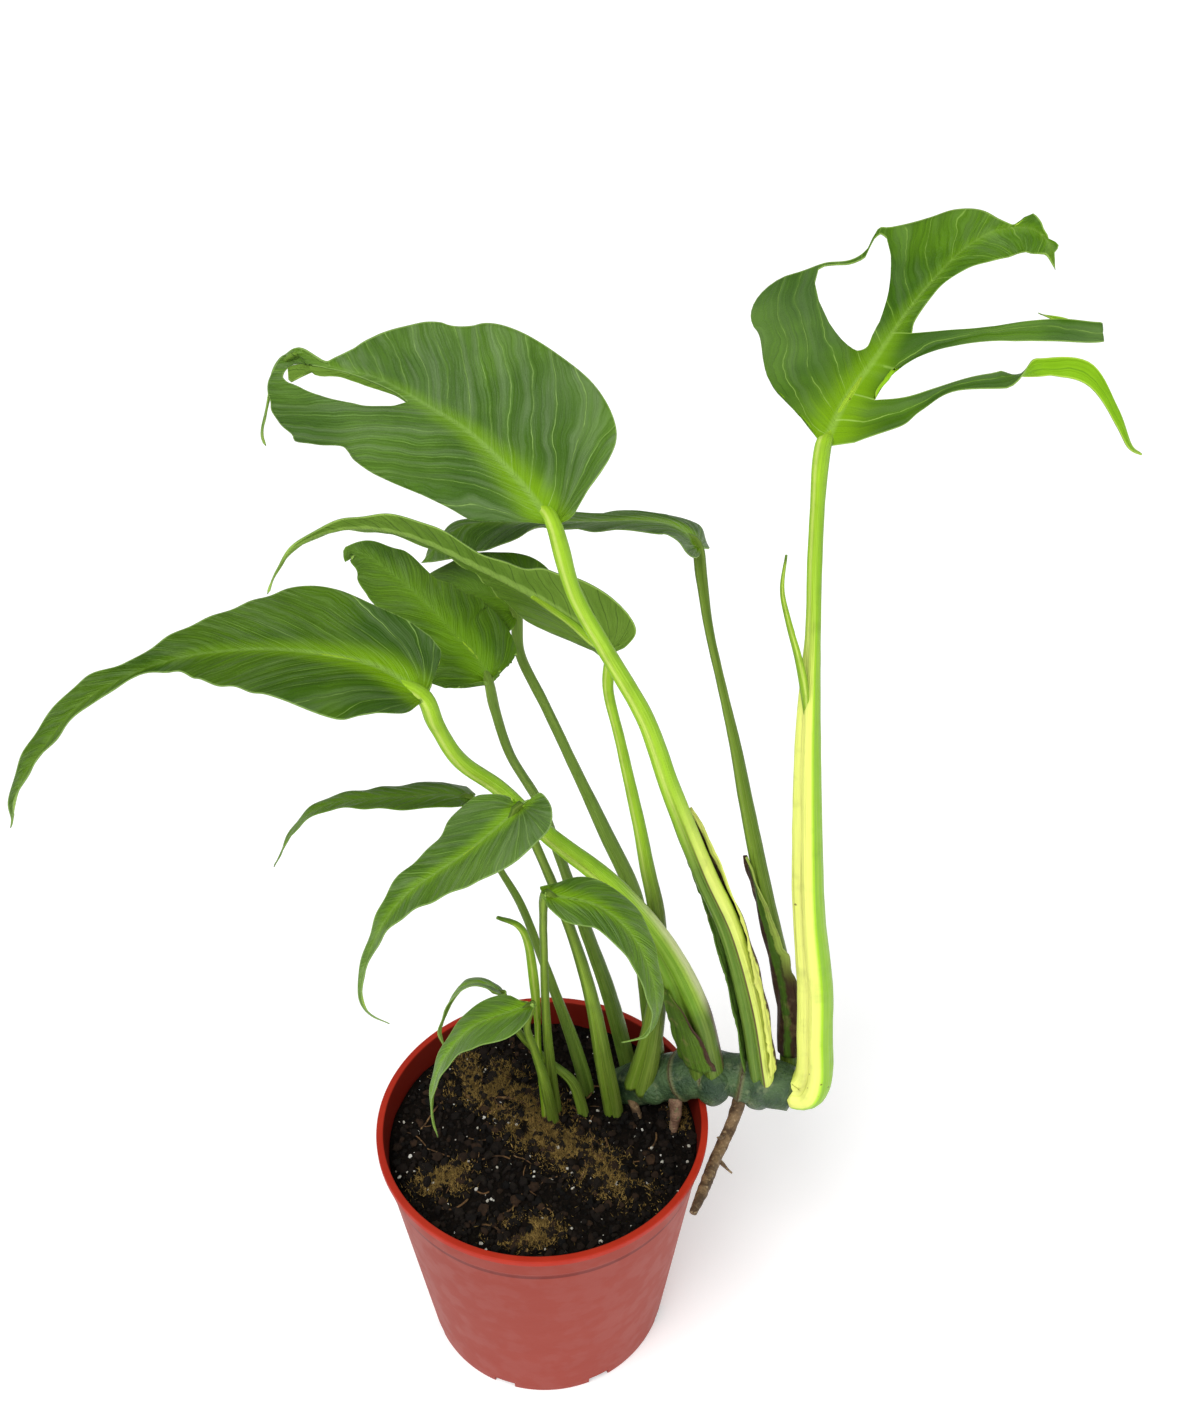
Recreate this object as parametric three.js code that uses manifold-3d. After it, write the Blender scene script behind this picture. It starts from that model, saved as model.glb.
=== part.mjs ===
// Potted flame monstera in its plastic nursery pot, in millimetres, +Z up.
// The frame's origin is the middle of the pot's base; +X is the side that the stem leans over.
import * as THREE from "three";
import { mergeVertices } from "three/addons/utils/BufferGeometryUtils.js";
import Module from "manifold-3d";

// Pot
const POT_HEIGHT = 134;
const POT_RIM_RADIUS = 82.5;
const POT_BASE_RADIUS = 63;
const POT_SHOULDER_RADIUS = 79.2;
const POT_SHOULDER_HEIGHT = 120;
const POT_STEP = 0.9;
const POT_WALL = 1.6;
const POT_FLOOR = 2.4;
const LIP_WIDTH = 3.4;
const LIP_SKIRT = 3;
const POT_SIDES = 36;
const DRAIN_COUNT = 8;
const DRAIN_WIDTH = 11;
const DRAIN_DEPTH = 9;
const DRAIN_HEIGHT = 4.5;

// Soil
const SOIL_EDGE_HEIGHT = 119;
const SOIL_MOUND = 5;
const MOUND_CENTRE = [-12, 6];
const MOUND_REACH = 42;
const SOIL_RIPPLE = 0.8;
const SOIL_RINGS = [0, 16, 32, 48, 64];

// Clearance between neighbouring pieces
const GAP = 0.3;
const JOINT_GAP = 0.4;

// Leaves
const BLADE_THICKNESS = 0.8;
const RIB_DEPTH = 1.2;
const VEIN_LEAN = 0.7;
const VEIN_BOW = [0.38, 0.55];
const STATION_STEP = 9;
const CLOSE_STATIONS = 1.4;
const PINCHED = 1;
const WIDE_COLUMNS = [0, 0.2, 0.55, 1];
const NARROW_COLUMNS = [0, 0.4, 1];
const SPINE_SAMPLES = 24;
const PROFILE_REACH = 130;
const RING_STEP = 19;
const SHEATH_THICKNESS = 0.8;

const COLOURS = {
  leaf: "#3f7a26",
  darkLeaf: "#2f5f26",
  youngLeaf: "#5e9a35",
  petiole: "#86b43a",
  paleSheath: "#cfe07a",
  drySheath: "#4b3327",
  stem: "#51694a",
  root: "#6e5230",
  pot: "#b4493a",
  soil: "#241a12",
};

// A petiole's section: angle in degrees from its groove, and share of its radius
const GROOVED = [[0, 0.8], [30, 1.02], [75, 1], [120, 0.97], [160, 0.95], [200, 0.95], [240, 0.97],
  [285, 1], [330, 1.02]];
const SHEATHED = [[0, 0.62], [24, 1.08], [70, 1], [115, 0.97], [160, 0.95], [200, 0.95], [245, 0.97],
  [290, 1], [336, 1.08]];
const ROUND = [[0, 1], [45, 1], [90, 1], [135, 1], [180, 1], [225, 1], [270, 1], [315, 1]];
const STEM_SECTION = [[0, 1], [30, 1], [60, 1], [90, 1], [120, 1], [150, 1], [180, 1], [210, 1],
  [240, 1], [270, 1], [300, 1], [330, 1]];
const HOLE_ROUND = ROUND.map(([angle]) => [angle, 1.19]);
const FINE_ROUND = [[0, 1], [60, 1], [120, 1], [180, 1], [240, 1], [300, 1]];

// The stem creeps out of the soil over the rim, with a swelling at each node.
const STEM = {
  path: [[37, 33, 108], [44, 28, 120], [54, 21, 132], [67, 14, 142], [80, 9, 148.6], [88, 8, 149],
    [95, 7, 148.8], [103, 5, 148.2], [115, 2, 147], [124, -2, 147]],
  radii: [9, 10.6, 11.4, 12, 12, 11.8, 10.6, 12.2, 12.2, 11],
};

const AERIAL_ROOTS = [
  { path: [[67, 5, 137], [67, 1, 129], [66, -1, 121], [65, -2, 112]], radii: [3.6, 3, 2.2, 1.8] },
  { path: [[45, 18, 126], [48, 10, 122], [50, 5, 113]], radii: [2.4, 2.2, 2] },
  { path: [[100, 2, 139], [93, -9, 128], [84, -24, 124.5], [76, -42, 127], [69, -55, 126]],
    radii: [3.5, 3, 3, 2.8, 1.8] },
];
const ROOTLETS = [
  [[91, -12, 127], [87, -17, 131], [85, -19, 134]],
  [[85, -24, 125], [89, -26, 120], [92, -27, 117]],
];

// Each blade is laid out along its midrib: s runs along it and w across it, both in mm. A margin
// lists [s, w] and, where the veins need it, the midrib station that this row of veins starts from.
const LEAVES = [
  {
    name: "leaf_01",
    colour: COLOURS.leaf,
    midrib: [[117, 30, 470], [131, 55, 481], [145, 70, 492], [159, 84, 505], [173, 95, 517],
      [186, 102, 527], [198, 104, 533], [210, 101, 535], [218, 97, 531], [222, 92, 520]],
    up: [-0.1, -0.6, 0.8],
    stiff: { side: -1, from: 100, near: 14, far: 28 },
    slopeLeft: [[0, -6], [70, -34]],
    slopeRight: [[0, -10], [62, -12], [90, -35], [120, -70]],
    left: [[0, 0, 0], [21, 20, 4], [32, 36, 10], [50, 56, 18], [63, 67, 24], [73, 68, 29],
      [81, 60, 34], [87.5, 48, 40], [92.3, 38, 48], [97.8, 34.4, 53.5], [103, 36, 55.2],
      [107.5, 37, 57], [109.5, 32.6, 62.3], [118, 23, 80], [124, 18.5, 92], [130, 12.5, 105],
      [134, 5.5, 122], [138.4, 1.2, 136.8], [141, 2.5, 138.5], [144, 7, 140], [147, 5.2, 144],
      [150, 2.2, 149], [151.5, 2, 150.5], [154, 1.2, 153.3], [155.5, 3, 154], [156.6, 4.4, 155],
      [158.2, 3.8, 156.8], [159.4, 1.8, 158.7], [162, 1.3, 161.3], [166, 0, 166]],
    hole: { side: 1, rows: [[38.5, 0.88, 0.88], [39, 0.76, 0.96], [39.8, 0.59, 0.975],
      [42, 0.39, 0.975], [44, 0.28, 0.975], [46.5, 0.2, 0.97], [51.5, 0.155, 0.955],
      [54, 0.16, 0.935], [57, 0.17, 0.94], [60, 0.19, 0.955], [63, 0.22, 0.91], [66, 0.27, 0.84],
      [68.5, 0.34, 0.75], [70, 0.42, 0.64], [70.5, 0.53, 0.53]] },
    lobes: [
      {
        from: 0,
        to: 33,
        lower: [[0, 0], [10, 10.5], [31, 24], [46, 27.5], [59.5, 33.5], [75.5, 51], [93, 59],
          [105, 75], [104, 98], [105, 112], [113, 125]],
        upper: [[33, 0], [37, 10], [45, 17.5], [54, 24.5], [66, 33.5], [82, 45], [98, 52.5],
          [113, 70], [109.5, 92], [107.3, 111], [113, 125]],
      },
      {
        from: 33,
        to: 68,
        lower: [[33, 0], [37, 10], [42, 8], [52, 8.8], [65, 14.5], [81, 25.5], [98, 40.4],
          [110, 53.5], [123, 68.5]],
        upper: [[68, 0], [72.5, 6.7], [76, 10.5], [84, 18.5], [92, 26.2], [103, 34.8],
          [111, 41.5], [120.5, 51], [129.4, 63]],
      },
    ],
    right: [[72.5, 6.7, 68], [78, 4.8, 76], [90, 4.2, 84], [100, 4.4, 92], [112, 7.4, 103],
      [123, 11, 114], [134, 12, 126], [141, 11, 132], [150, 9.5, 141], [156, 8.3, 148],
      [158.5, 4, 152.5], [160, 2, 156], [166, 0, 166]],
    petiole: [[123, -3, 147], [131, -5, 150], [134, -5, 163], [132, -4, 189], [130, -2, 217],
      [125, 2, 254], [122, 5, 285], [118, 11, 347], [117, 17, 395], [116, 22, 427], [116, 27, 457],
      [117, 30, 470]],
    radii: [9, 10, 9, 8.6, 8.4, 7.4, 7, 5.5, 3.3, 3.1, 2.9, 3.2],
    groove: [-0.8, -0.6, 0],
    sheath: 0.72,
    petioleColour: COLOURS.paleSheath,
  },
  {
    name: "leaf_02",
    colour: COLOURS.leaf,
    midrib: [[12, 10, 449], [-2, 29, 461], [-19, 49, 471.5], [-35, 63, 477.5], [-49, 74, 482.5],
      [-59, 80, 485.4], [-68, 83.5, 486.5], [-78, 86.5, 488.6], [-87.6, 89.8, 492.8],
      [-92.6, 92.5, 491], [-97.6, 99, 485.6], [-101.9, 105, 478.3], [-105.4, 108, 471.3],
      [-107.8, 109, 465.3], [-111.3, 108, 453.2], [-110.7, 107, 446.8]],
    up: [-0.41, -0.71, 0.57],
    stiff: { side: 1, from: 100, near: 5, far: 16, pinch: [128, 142] },
    slopeLeft: [[0, 10], [45, -4]],
    slopeRight: [[0, 10], [45, -4]],
    left: [[0, 0], [9, 8], [18, 17], [27, 23.9], [38, 27], [53, 30.6], [70, 33], [83, 34.4],
      [95.4, 34], [100, 32.3], [103, 31.2], [107, 32.2], [112.4, 34.6], [118, 36.3], [124, 38.1],
      [127, 36.4], [133.3, 35.2], [137, 33.3], [140.4, 31.2], [143, 28.4], [145.4, 26.1],
      [147, 22.6], [148.6, 17.4, 136.4], [148.5, 13, 139.4], [148.3, 8, 142.7], [149, 4.5, 145.9],
      [151, 3.2], [158, 3], [176, 2.2], [199, 0]],
    right: [[0, 0], [-3, 8], [0, 21], [3, 33], [10, 41], [26, 46], [45, 45], [65, 42], [84, 32.6],
      [90, 30.9], [97, 27.2], [103, 22.5], [107, 18.6], [111, 14], [118.7, 8.3], [124.4, 4],
      [128, 0.9], [132, 0.8], [138, 1.3], [144, 1.7], [150, 2], [158, 3], [176, 2.2], [199, 0]],
    hole: { side: 1, rows: [[85.8, 0.08, 0.08], [88, 0.065, 0.19], [93.4, 0.05, 0.27],
      [100.7, 0.055, 0.34], [107.1, 0.055, 0.41], [113.8, 0.035, 0.48], [118.5, 0.025, 0.535],
      [122.9, 0.03, 0.59], [125.6, 0.045, 0.63], [127.7, 0.06, 0.68], [130.9, 0.12, 0.735],
      [131.6, 0.25, 0.75], [132.3, 0.43, 0.755], [133.4, 0.52, 0.745], [134.3, 0.6, 0.725],
      [134.8, 0.67, 0.67]] },
    petiole: [[110, 0, 150], [107, -3, 167], [99, -5, 211], [87, -6, 257], [73, -7, 293],
      [58, -5, 335], [47, -1, 368], [31, 4, 398], [19, 7, 422], [12, 10, 449]],
    radii: [6, 6, 6, 5.5, 5, 4.4, 3.8, 3.4, 3.2, 3],
    groove: [-0.5, -0.9, 0.2],
    sheath: 0.6,
  },
  {
    name: "leaf_03",
    colour: COLOURS.leaf,
    midrib: [[36, 46, 373], [24, 47, 385], [9, 46, 398], [-6, 44, 409], [-21, 42, 419],
      [-36, 42, 428], [-50, 42, 434], [-65, 41, 437], [-80, 38, 436], [-91, 34, 431],
      [-98, 29, 424], [-101, 23, 417]],
    up: [-0.1, 0.85, 0.53],
    slopeLeft: [[0, 5], [30, -1]],
    slopeRight: [[0, 26], [30, 22]],
    left: [[0, 0], [-2, 6], [0, 16], [6, 20], [21, 23], [35, 20], [47, 16], [60, 9], [80, 7],
      [95, 9], [110, 8], [125, 5], [145, 2], [172, 0]],
    right: [[0, 0], [-3, 6], [3, 13], [13, 22], [27, 30], [40, 28], [54, 20], [68, 11], [85, 7],
      [110, 7], [130, 4], [150, 2], [172, 0]],
    petiole: [[50, 14, 137], [55, 14, 169], [58, 16, 204], [57, 19, 243], [52, 23, 271],
      [48, 27, 294], [40, 36, 333], [35, 42, 356], [36, 46, 373]],
    radii: [8, 6, 4.5, 4, 3.5, 3, 2.4, 2.4, 2.4],
    groove: [-0.6, -0.8, 0],
    sheath: 0.5,
  },
  {
    name: "leaf_04",
    colour: COLOURS.leaf,
    midrib: [[80, 100, 397], [76, 103, 402], [68, 107, 405], [54, 110, 406], [36, 112, 405],
      [17, 113, 405], [-1, 113, 405], [-17, 112, 406], [-28, 110, 405], [-38, 106, 399],
      [-47, 102, 391]],
    up: [0, 0.25, 0.97],
    slopeLeft: [[0, 5], [30, -7]],
    slopeRight: [[0, 5], [30, -7]],
    droop: { side: 1, from: 78, to: 108, turn: -55 },
    left: [[0, 0], [-4, 8], [-3, 18], [8, 25], [30, 27], [55, 24], [80, 18], [100, 15], [118, 13],
      [130, 8], [139, 0]],
    right: [[0, 0], [-4, 8], [-3, 16], [8, 22], [30, 26], [55, 24], [80, 18], [100, 14], [118, 11],
      [130, 6], [139, 0]],
    petiole: [[126, 10, 142], [123, 18, 188], [111, 32, 241], [102, 48, 283], [96, 58, 313],
      [91, 72, 335], [85, 84, 361], [82, 94, 382], [80, 100, 397]],
    radii: [5, 4.5, 4, 3.6, 2.8, 2.2, 2.2, 2.6, 2.6],
    groove: [-0.8, -0.6, 0],
    sheath: 0.5,
  },
  {
    name: "leaf_05",
    colour: COLOURS.darkLeaf,
    narrow: true,
    midrib: [[-4, 80, 375], [-11, 85, 380], [-23, 91, 382], [-34, 95, 379], [-46, 96, 373],
      [-56, 94, 363], [-61, 91, 352]],
    up: [0.1, -0.5, 0.86],
    slopeLeft: [[0, 10], [25, 2]],
    slopeRight: [[0, 10], [25, 2]],
    left: [[0, 0], [-4, 6], [-2, 14], [8, 19], [25, 19], [42, 14], [60, 7], [76, 0]],
    right: [[0, 0], [-4, 8], [-3, 18], [4, 25], [14, 24], [24, 20], [40, 16], [58, 8], [76, 0]],
    petiole: [[59, 30, 144], [53, 36, 202], [48, 42, 239], [34, 50, 273], [21, 58, 303],
      [8, 68, 332], [-3, 76, 356], [-4, 80, 375]],
    radii: [5, 4.5, 4, 3.5, 2.6, 2.4, 2.4, 2.4],
    groove: [-0.4, -0.9, 0],
    sheath: 0.5,
  },
  {
    name: "leaf_06",
    colour: COLOURS.darkLeaf,
    narrow: true,
    midrib: [[-17, 50, 357], [-20, 53, 364], [-25, 56, 371], [-31, 58, 377], [-36, 62, 382],
      [-42, 66, 387], [-48, 70, 392], [-54, 74, 396], [-61, 77, 401], [-67, 80, 405],
      [-72, 81, 407], [-76, 81, 408], [-77, 78, 407], [-77, 74, 406]],
    up: [0, -0.77, 0.64],
    slopeLeft: [[0, 10], [25, 2]],
    slopeRight: [[0, -15], [25, -35]],
    left: [[0, 0], [1.9, 2.8], [2.6, 6], [3.2, 12.9], [7.2, 19.2], [17, 22.9], [27, 19.2],
      [44, 16.6], [62.3, 15.7], [68.7, 14], [75.5, 11.2], [81, 7.8], [85, 5.2], [88.5, 3.2], [92, 1.6],
      [94, 0]],
    right: [[0, 0], [0.3, 3.7], [2.6, 7], [4.4, 14.2], [6.3, 19], [8.9, 20.6], [14.7, 22.7],
      [20.5, 23], [33, 21.2], [37.7, 18], [45.8, 14.9], [50, 12.6], [57, 12.5], [64.3, 12.9],
      [69.9, 12], [77, 8.8], [80.7, 6.6], [84.2, 4.6], [86.4, 2.6], [89, 1.4], [92, 0.9], [94, 0]],
    petiole: [[48, 41, 106], [46, 42, 124], [36, 45, 172], [24, 47, 216], [13, 49, 257],
      [4, 50, 289], [-9, 50, 318], [-15, 50, 343], [-17, 50, 357]],
    radii: [4.5, 4.5, 4, 3.2, 2.6, 2.4, 2.2, 2.2, 2.2],
    groove: [-0.5, -0.85, 0],
    sheath: 0.5,
  },
  {
    name: "leaf_07",
    colour: COLOURS.leaf,
    midrib: [[-41, -3, 383], [-58, 4, 393], [-80, 9, 397], [-103, 11, 399], [-126, 9, 399],
      [-141, 5, 398], [-157, 0, 394], [-173, -5, 386], [-188, -9, 371], [-201, -12, 354],
      [-209, -13, 334]],
    up: [0.1, -0.49, 0.87],
    slopeLeft: [[0, 25], [30, 13]],
    slopeRight: [[0, 10], [30, 1]],
    left: [[0, 0], [0, 7], [2, 14], [10, 23], [20, 32], [33, 33], [55, 29], [74, 24], [90, 18],
      [102, 9], [112, 4], [129, 4], [141, 5], [159, 4], [180, 2], [207, 0]],
    right: [[0, 0], [1, 7], [3, 13], [7, 20], [19, 23], [30, 25], [45, 29], [58, 28], [75, 20],
      [99, 11], [110, 7], [121, 5], [133, 8], [144, 7], [162, 7], [179, 5], [194, 3], [207, 0]],
    petiole: [[83, 6, 153], [73, 4, 198], [57, 6, 239], [34, 9, 274], [7, 10, 302], [-13, 8, 329],
      [-29, 3, 348], [-37, -1, 368], [-41, -3, 383]],
    radii: [9, 9, 7, 5, 4, 3.6, 3.4, 3.2, 3.2],
    groove: [-0.5, -0.7, 0.5],
    sheath: 0.62,
  },
  {
    name: "leaf_08",
    colour: COLOURS.darkLeaf,
    narrow: true,
    midrib: [[-28, 46, 298], [-40, 46, 301], [-56, 44, 302], [-73, 42, 303], [-89, 40, 303],
      [-101, 37, 299], [-110, 34, 290], [-119, 31, 274]],
    up: [0, 0.2, 0.98],
    slopeLeft: [[0, 5], [15, -10]],
    slopeRight: [[0, 5], [15, -10]],
    left: [[0, 0], [-2, 5], [3, 11], [15, 14], [30, 14], [48, 11], [62, 8], [80, 5], [107, 0]],
    right: [[0, 0], [-2, 5], [2, 12], [12, 16], [28, 14], [47, 10], [62, 7], [80, 4], [107, 0]],
    petiole: [[22, 25, 106], [23, 26, 124], [17, 29, 153], [9, 31, 184], [1, 33, 214], [-7, 36, 241],
      [-17, 39, 263], [-24, 43, 284], [-28, 46, 298]],
    radii: [4, 4, 3.4, 2.6, 2.2, 2, 1.7, 1.7, 1.7],
    groove: [0.5, -0.85, 0],
    sheath: 0.4,
  },
  {
    name: "leaf_09",
    colour: COLOURS.youngLeaf,
    narrow: true,
    midrib: [[-5, -10, 333], [-16, -16, 326], [-28, -23, 320], [-40, -30, 316], [-51, -37, 312],
      [-60, -43, 304], [-67, -48, 292], [-72, -51, 277], [-70, -54, 264], [-61, -59, 262]],
    up: [-0.43, -0.25, 0.87],
    slopeLeft: [[0, 10], [25, 0]],
    slopeRight: [[0, 10], [25, 0]],
    left: [[0, 0], [-9, 2], [-10, 8], [-8, 16], [-2, 22], [8, 24], [18, 23], [29, 21], [42, 17],
      [51, 15], [60, 11], [75, 5], [95, 2], [127, 0]],
    right: [[0, 0], [1, 8], [6, 16], [12, 21], [23, 20], [35, 14], [47, 11], [59, 9], [69, 6],
      [85, 3], [105, 2], [127, 0]],
    petiole: [[38, 13, 106], [36, 12, 125], [31, 8, 163], [25, 3, 209], [17, -1, 250], [8, -5, 286],
      [1, -8, 311], [-5, -10, 333]],
    radii: [5, 5, 4.5, 3.4, 2.6, 2.2, 2, 2],
    groove: [-0.3, -0.95, 0],
    sheath: 0.45,
  },
  {
    name: "leaf_10",
    colour: COLOURS.youngLeaf,
    narrow: true,
    midrib: [[4, -28, 301], [12, -27, 298], [24, -26, 293], [34, -28, 286], [42, -31, 276],
      [47, -35, 265], [50, -38, 252], [50, -41, 241], [45, -43, 231], [35, -46, 231]],
    up: [0.6, -0.22, 0.77],
    slopeLeft: [[0, 10], [15, -2]],
    slopeRight: [[0, 10], [15, -2]],
    left: [[0, 0], [-2, 3], [5, 6], [10, 9], [18, 12], [27, 13], [39, 13], [50, 11], [63, 8],
      [75, 7], [90, 5], [112, 0]],
    right: [[0, 0], [0, 6], [3, 10], [8, 13], [17, 14], [27, 13], [40, 14], [51, 13], [63, 12],
      [74, 10], [93, 4], [112, 0]],
    petiole: [[9, 15, 106], [7, 13, 122], [4, 4, 176], [3, -6, 219], [3, -15, 258], [3, -21, 278],
      [4, -28, 301]],
    radii: [2.6, 3, 2.4, 2, 1.8, 1.8, 1.8],
    groove: [-0.3, -0.95, 0],
    sheath: 0.3,
  },
  {
    name: "leaf_11",
    colour: COLOURS.youngLeaf,
    narrow: true,
    midrib: [[-3, -13, 224], [-11, -13, 221], [-20, -13, 217], [-30, -14, 213], [-38, -16, 206],
      [-45, -19, 197], [-50, -22, 184], [-52, -25, 170], [-50, -27, 154]],
    up: [-0.57, 0, 0.82],
    slopeLeft: [[0, 10], [15, -2]],
    slopeRight: [[0, 10], [15, -2]],
    left: [[0, 0], [0, 5], [2, 11], [8, 16], [17, 17], [30, 15], [42, 10], [51, 9], [62, 6], [78, 3],
      [97, 0]],
    right: [[0, 0], [4, 2], [7, 5], [11, 9], [17, 12], [25, 12], [36, 9], [46, 7], [60, 5], [78, 2],
      [97, 0]],
    petiole: [[7, 7, 106], [5, 5, 127], [1, 0, 161], [-3, -6, 188], [-6, -10, 207], [-3, -13, 224]],
    radii: [2.6, 3, 2.6, 2, 1.8, 1.6],
    groove: [-0.3, -0.95, 0],
    sheath: 0.4,
  },
  {
    name: "leaf_12",
    colour: COLOURS.youngLeaf,
    narrow: true,
    midrib: [[-17, 12, 207], [-23, 14, 211], [-30, 15, 212], [-36, 14, 211], [-41, 12, 206],
      [-45, 10, 198], [-48, 8, 189], [-47, 6, 179]],
    up: [-0.2, 0.5, 0.84],
    slopeLeft: [[0, 5], [15, -7]],
    slopeRight: [[0, 5], [15, -7]],
    left: [[0, 0], [0, 4], [4, 8], [12, 9], [22, 8], [32, 6], [42, 4], [58, 0]],
    right: [[0, 0], [-1, 4], [3, 8], [11, 10], [22, 9], [32, 7], [42, 4], [58, 0]],
    petiole: [[22, 11, 108], [20, 12, 126], [15, 14, 143], [3, 16, 156], [-9, 14, 176],
      [-15, 13, 195], [-17, 12, 207]],
    radii: [3, 3, 2.6, 2, 1.8, 1.6, 1.5],
    groove: [-0.3, -0.95, 0],
    sheath: 0.4,
  },
];

// New leaves that are still rolled up. The one within a leaf's petiole comes out of its sheath.
const ROLLED = [
  {
    name: "leaf_13_rolled",
    path: [[0, 11, 106], [1, 8, 128], [-1, 7, 170], [-1, 4, 195], [-2, 0, 224], [-4, -2, 250],
      [-8, -5, 264], [-17, -7, 271]],
    radii: [1.6, 1.6, 1.6, 1.6, 2.2, 1.8, 1.4, 0.8],
  },
  {
    name: "leaf_14_spear",
    within: "leaf_01",
    path: [[116, 11, 360], [113.5, 9, 374], [110, 10, 388], [105, 12, 404], [102, 14, 417],
      [103, 16, 431]],
    radii: [1.2, 1.9, 1.6, 1.2, 0.9, 0.5],
  },
];

// Dried sheaths: each wraps part of a petiole. shares says where it runs along the petiole; reach
// lists [share, half of its wrap in degrees] and facing is the middle of the wrap, both seen from
// the groove.
const DRY_SHEATHS = [
  { name: "leaf_02_sheath", leaf: "leaf_02", shares: [0.05, 0.56], facing: 180,
    reach: [[0.05, 130], [0.3, 120], [0.5, 60], [0.56, 12]] },
  { name: "leaf_04_sheath", leaf: "leaf_04", shares: [0.06, 0.46], facing: 20,
    reach: [[0.06, 120], [0.25, 110], [0.4, 50], [0.46, 14]] },
  { name: "leaf_07_sheath", leaf: "leaf_07", shares: [0.05, 0.26], facing: 20,
    reach: [[0.05, 60], [0.15, 40], [0.26, 10]] },
];

const wasm = await Module();
wasm.setup();

const vector = (p) => new THREE.Vector3(...p);
const { lerp, clamp, degToRad, smoothstep } = THREE.MathUtils;

// Value at x of a table of [x, value] rows, straight between them
function tableValue(rows, x) {
  const after = rows.findIndex((row) => row[0] >= x);
  if (after === 0) return rows[0][1];
  if (after < 0) return rows.at(-1)[1];
  const [x0, y0] = rows[after - 1];
  const [x1, y1] = rows[after];
  return lerp(y0, y1, (x - x0) / (x1 - x0));
}

// Smooth curve through points of any dimension; t counts the points
function smoothAt(points, t) {
  const last = points.length - 1;
  const i = clamp(Math.floor(t), 0, last - 1);
  const u = t - i;
  const mirror = (end, next) => end.map((c, k) => 2 * c - next[k]);
  const before = i > 0 ? points[i - 1] : mirror(points[0], points[1]);
  const after = i + 2 <= last ? points[i + 2] : mirror(points[last], points[last - 1]);
  return points[i].map((b, k) => {
    const a = before[k];
    const c = points[i + 1][k];
    const d = after[k];
    const square = 2 * a - 5 * b + 4 * c - d;
    const cube = 3 * b - a - 3 * c + d;
    return 0.5 * (2 * b + (c - a) * u + square * u * u + cube * u * u * u);
  });
}

// A smooth path with arc length s and a frame carried along it. The frame's normal is closest to
// up at the share upAt of the length.
class Spine {
  constructor(path, up, upAt) {
    this.count = (path.length - 1) * SPINE_SAMPLES;
    this.points = [];
    this.reach = [0];
    for (let i = 0; i <= this.count; i++) {
      this.points.push(vector(smoothAt(path, i / SPINE_SAMPLES)));
      if (i > 0) this.reach.push(this.reach[i - 1] + this.points[i].distanceTo(this.points[i - 1]));
    }
    this.length = this.reach[this.count];
    this.tangents = this.points.map((p, i) => {
      const ahead = this.points[Math.min(i + 1, this.count)];
      const behind = this.points[Math.max(i - 1, 0)];
      return ahead.clone().sub(behind).normalize();
    });
    const start = this.reach.findIndex((s) => s >= this.length * upAt);
    const square = (n, i) => {
      const along = n.dot(this.tangents[i]);
      return n.clone().addScaledVector(this.tangents[i], -along).normalize();
    };
    this.normals = [];
    this.normals[start] = square(vector(up), start);
    for (let i = start - 1; i >= 0; i--) this.normals[i] = square(this.normals[i + 1], i);
    for (let i = start + 1; i <= this.count; i++) this.normals[i] = square(this.normals[i - 1], i);
  }

  // Position of s among the samples, as a number with a fraction
  sampleAt(s) {
    const after = this.reach.findIndex((r) => r >= s);
    if (after === 0) return 0;
    if (after < 0) return this.count;
    return after - 1 + (s - this.reach[after - 1]) / (this.reach[after] - this.reach[after - 1]);
  }

  frameAt(s) {
    const inside = clamp(s, 0, this.length);
    const place = this.sampleAt(inside);
    const i = Math.min(Math.floor(place), this.count - 1);
    const mix = (list) => list[i].clone().lerp(list[i + 1], place - i);
    const tangent = mix(this.tangents).normalize();
    const normal = mix(this.normals).normalize();
    const point = mix(this.points).addScaledVector(tangent, s - inside);
    return { point, tangent, normal, side: normal.clone().cross(tangent), t: place / SPINE_SAMPLES };
  }
}

// A welded geometry as a solid that faces out
function solidOf(geometry) {
  const bare = new THREE.BufferGeometry().setAttribute("position", geometry.getAttribute("position"));
  if (geometry.index) bare.setIndex(geometry.index);
  const welded = mergeVertices(bare, 1e-4);
  const corners = welded.index.array;
  const kept = [];
  for (let i = 0; i < corners.length; i += 3) {
    const [a, b, c] = corners.slice(i, i + 3);
    if (a !== b && b !== c && c !== a) kept.push(a, b, c);
  }
  const mesh = (triangles) => new wasm.Mesh({
    numProp: 3,
    vertProperties: new Float32Array(welded.getAttribute("position").array),
    triVerts: new Uint32Array(triangles),
  });
  const solid = new wasm.Manifold(mesh(kept));
  return solid.volume() > 0 ? solid : new wasm.Manifold(mesh(kept.reverse()));
}

// The largest body of a solid, without the slivers that a cut can leave
function mainBody(solid) {
  const bodies = solid.decompose();
  return bodies.reduce((most, body) => (body.volume() > most.volume() ? body : most));
}

// A solid as a named mesh with its own material
function meshOf(name, solid, colour, roughness = 0.6) {
  const { vertProperties, triVerts } = solid.getMesh();
  const geometry = new THREE.BufferGeometry();
  geometry.setAttribute("position", new THREE.BufferAttribute(vertProperties, 3));
  geometry.setIndex(new THREE.BufferAttribute(triVerts, 1));
  geometry.computeVertexNormals();
  const mesh = new THREE.Mesh(
    geometry,
    new THREE.MeshStandardMaterial({ color: colour, roughness, metalness: 0 }),
  );
  mesh.name = name;
  return mesh;
}

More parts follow.
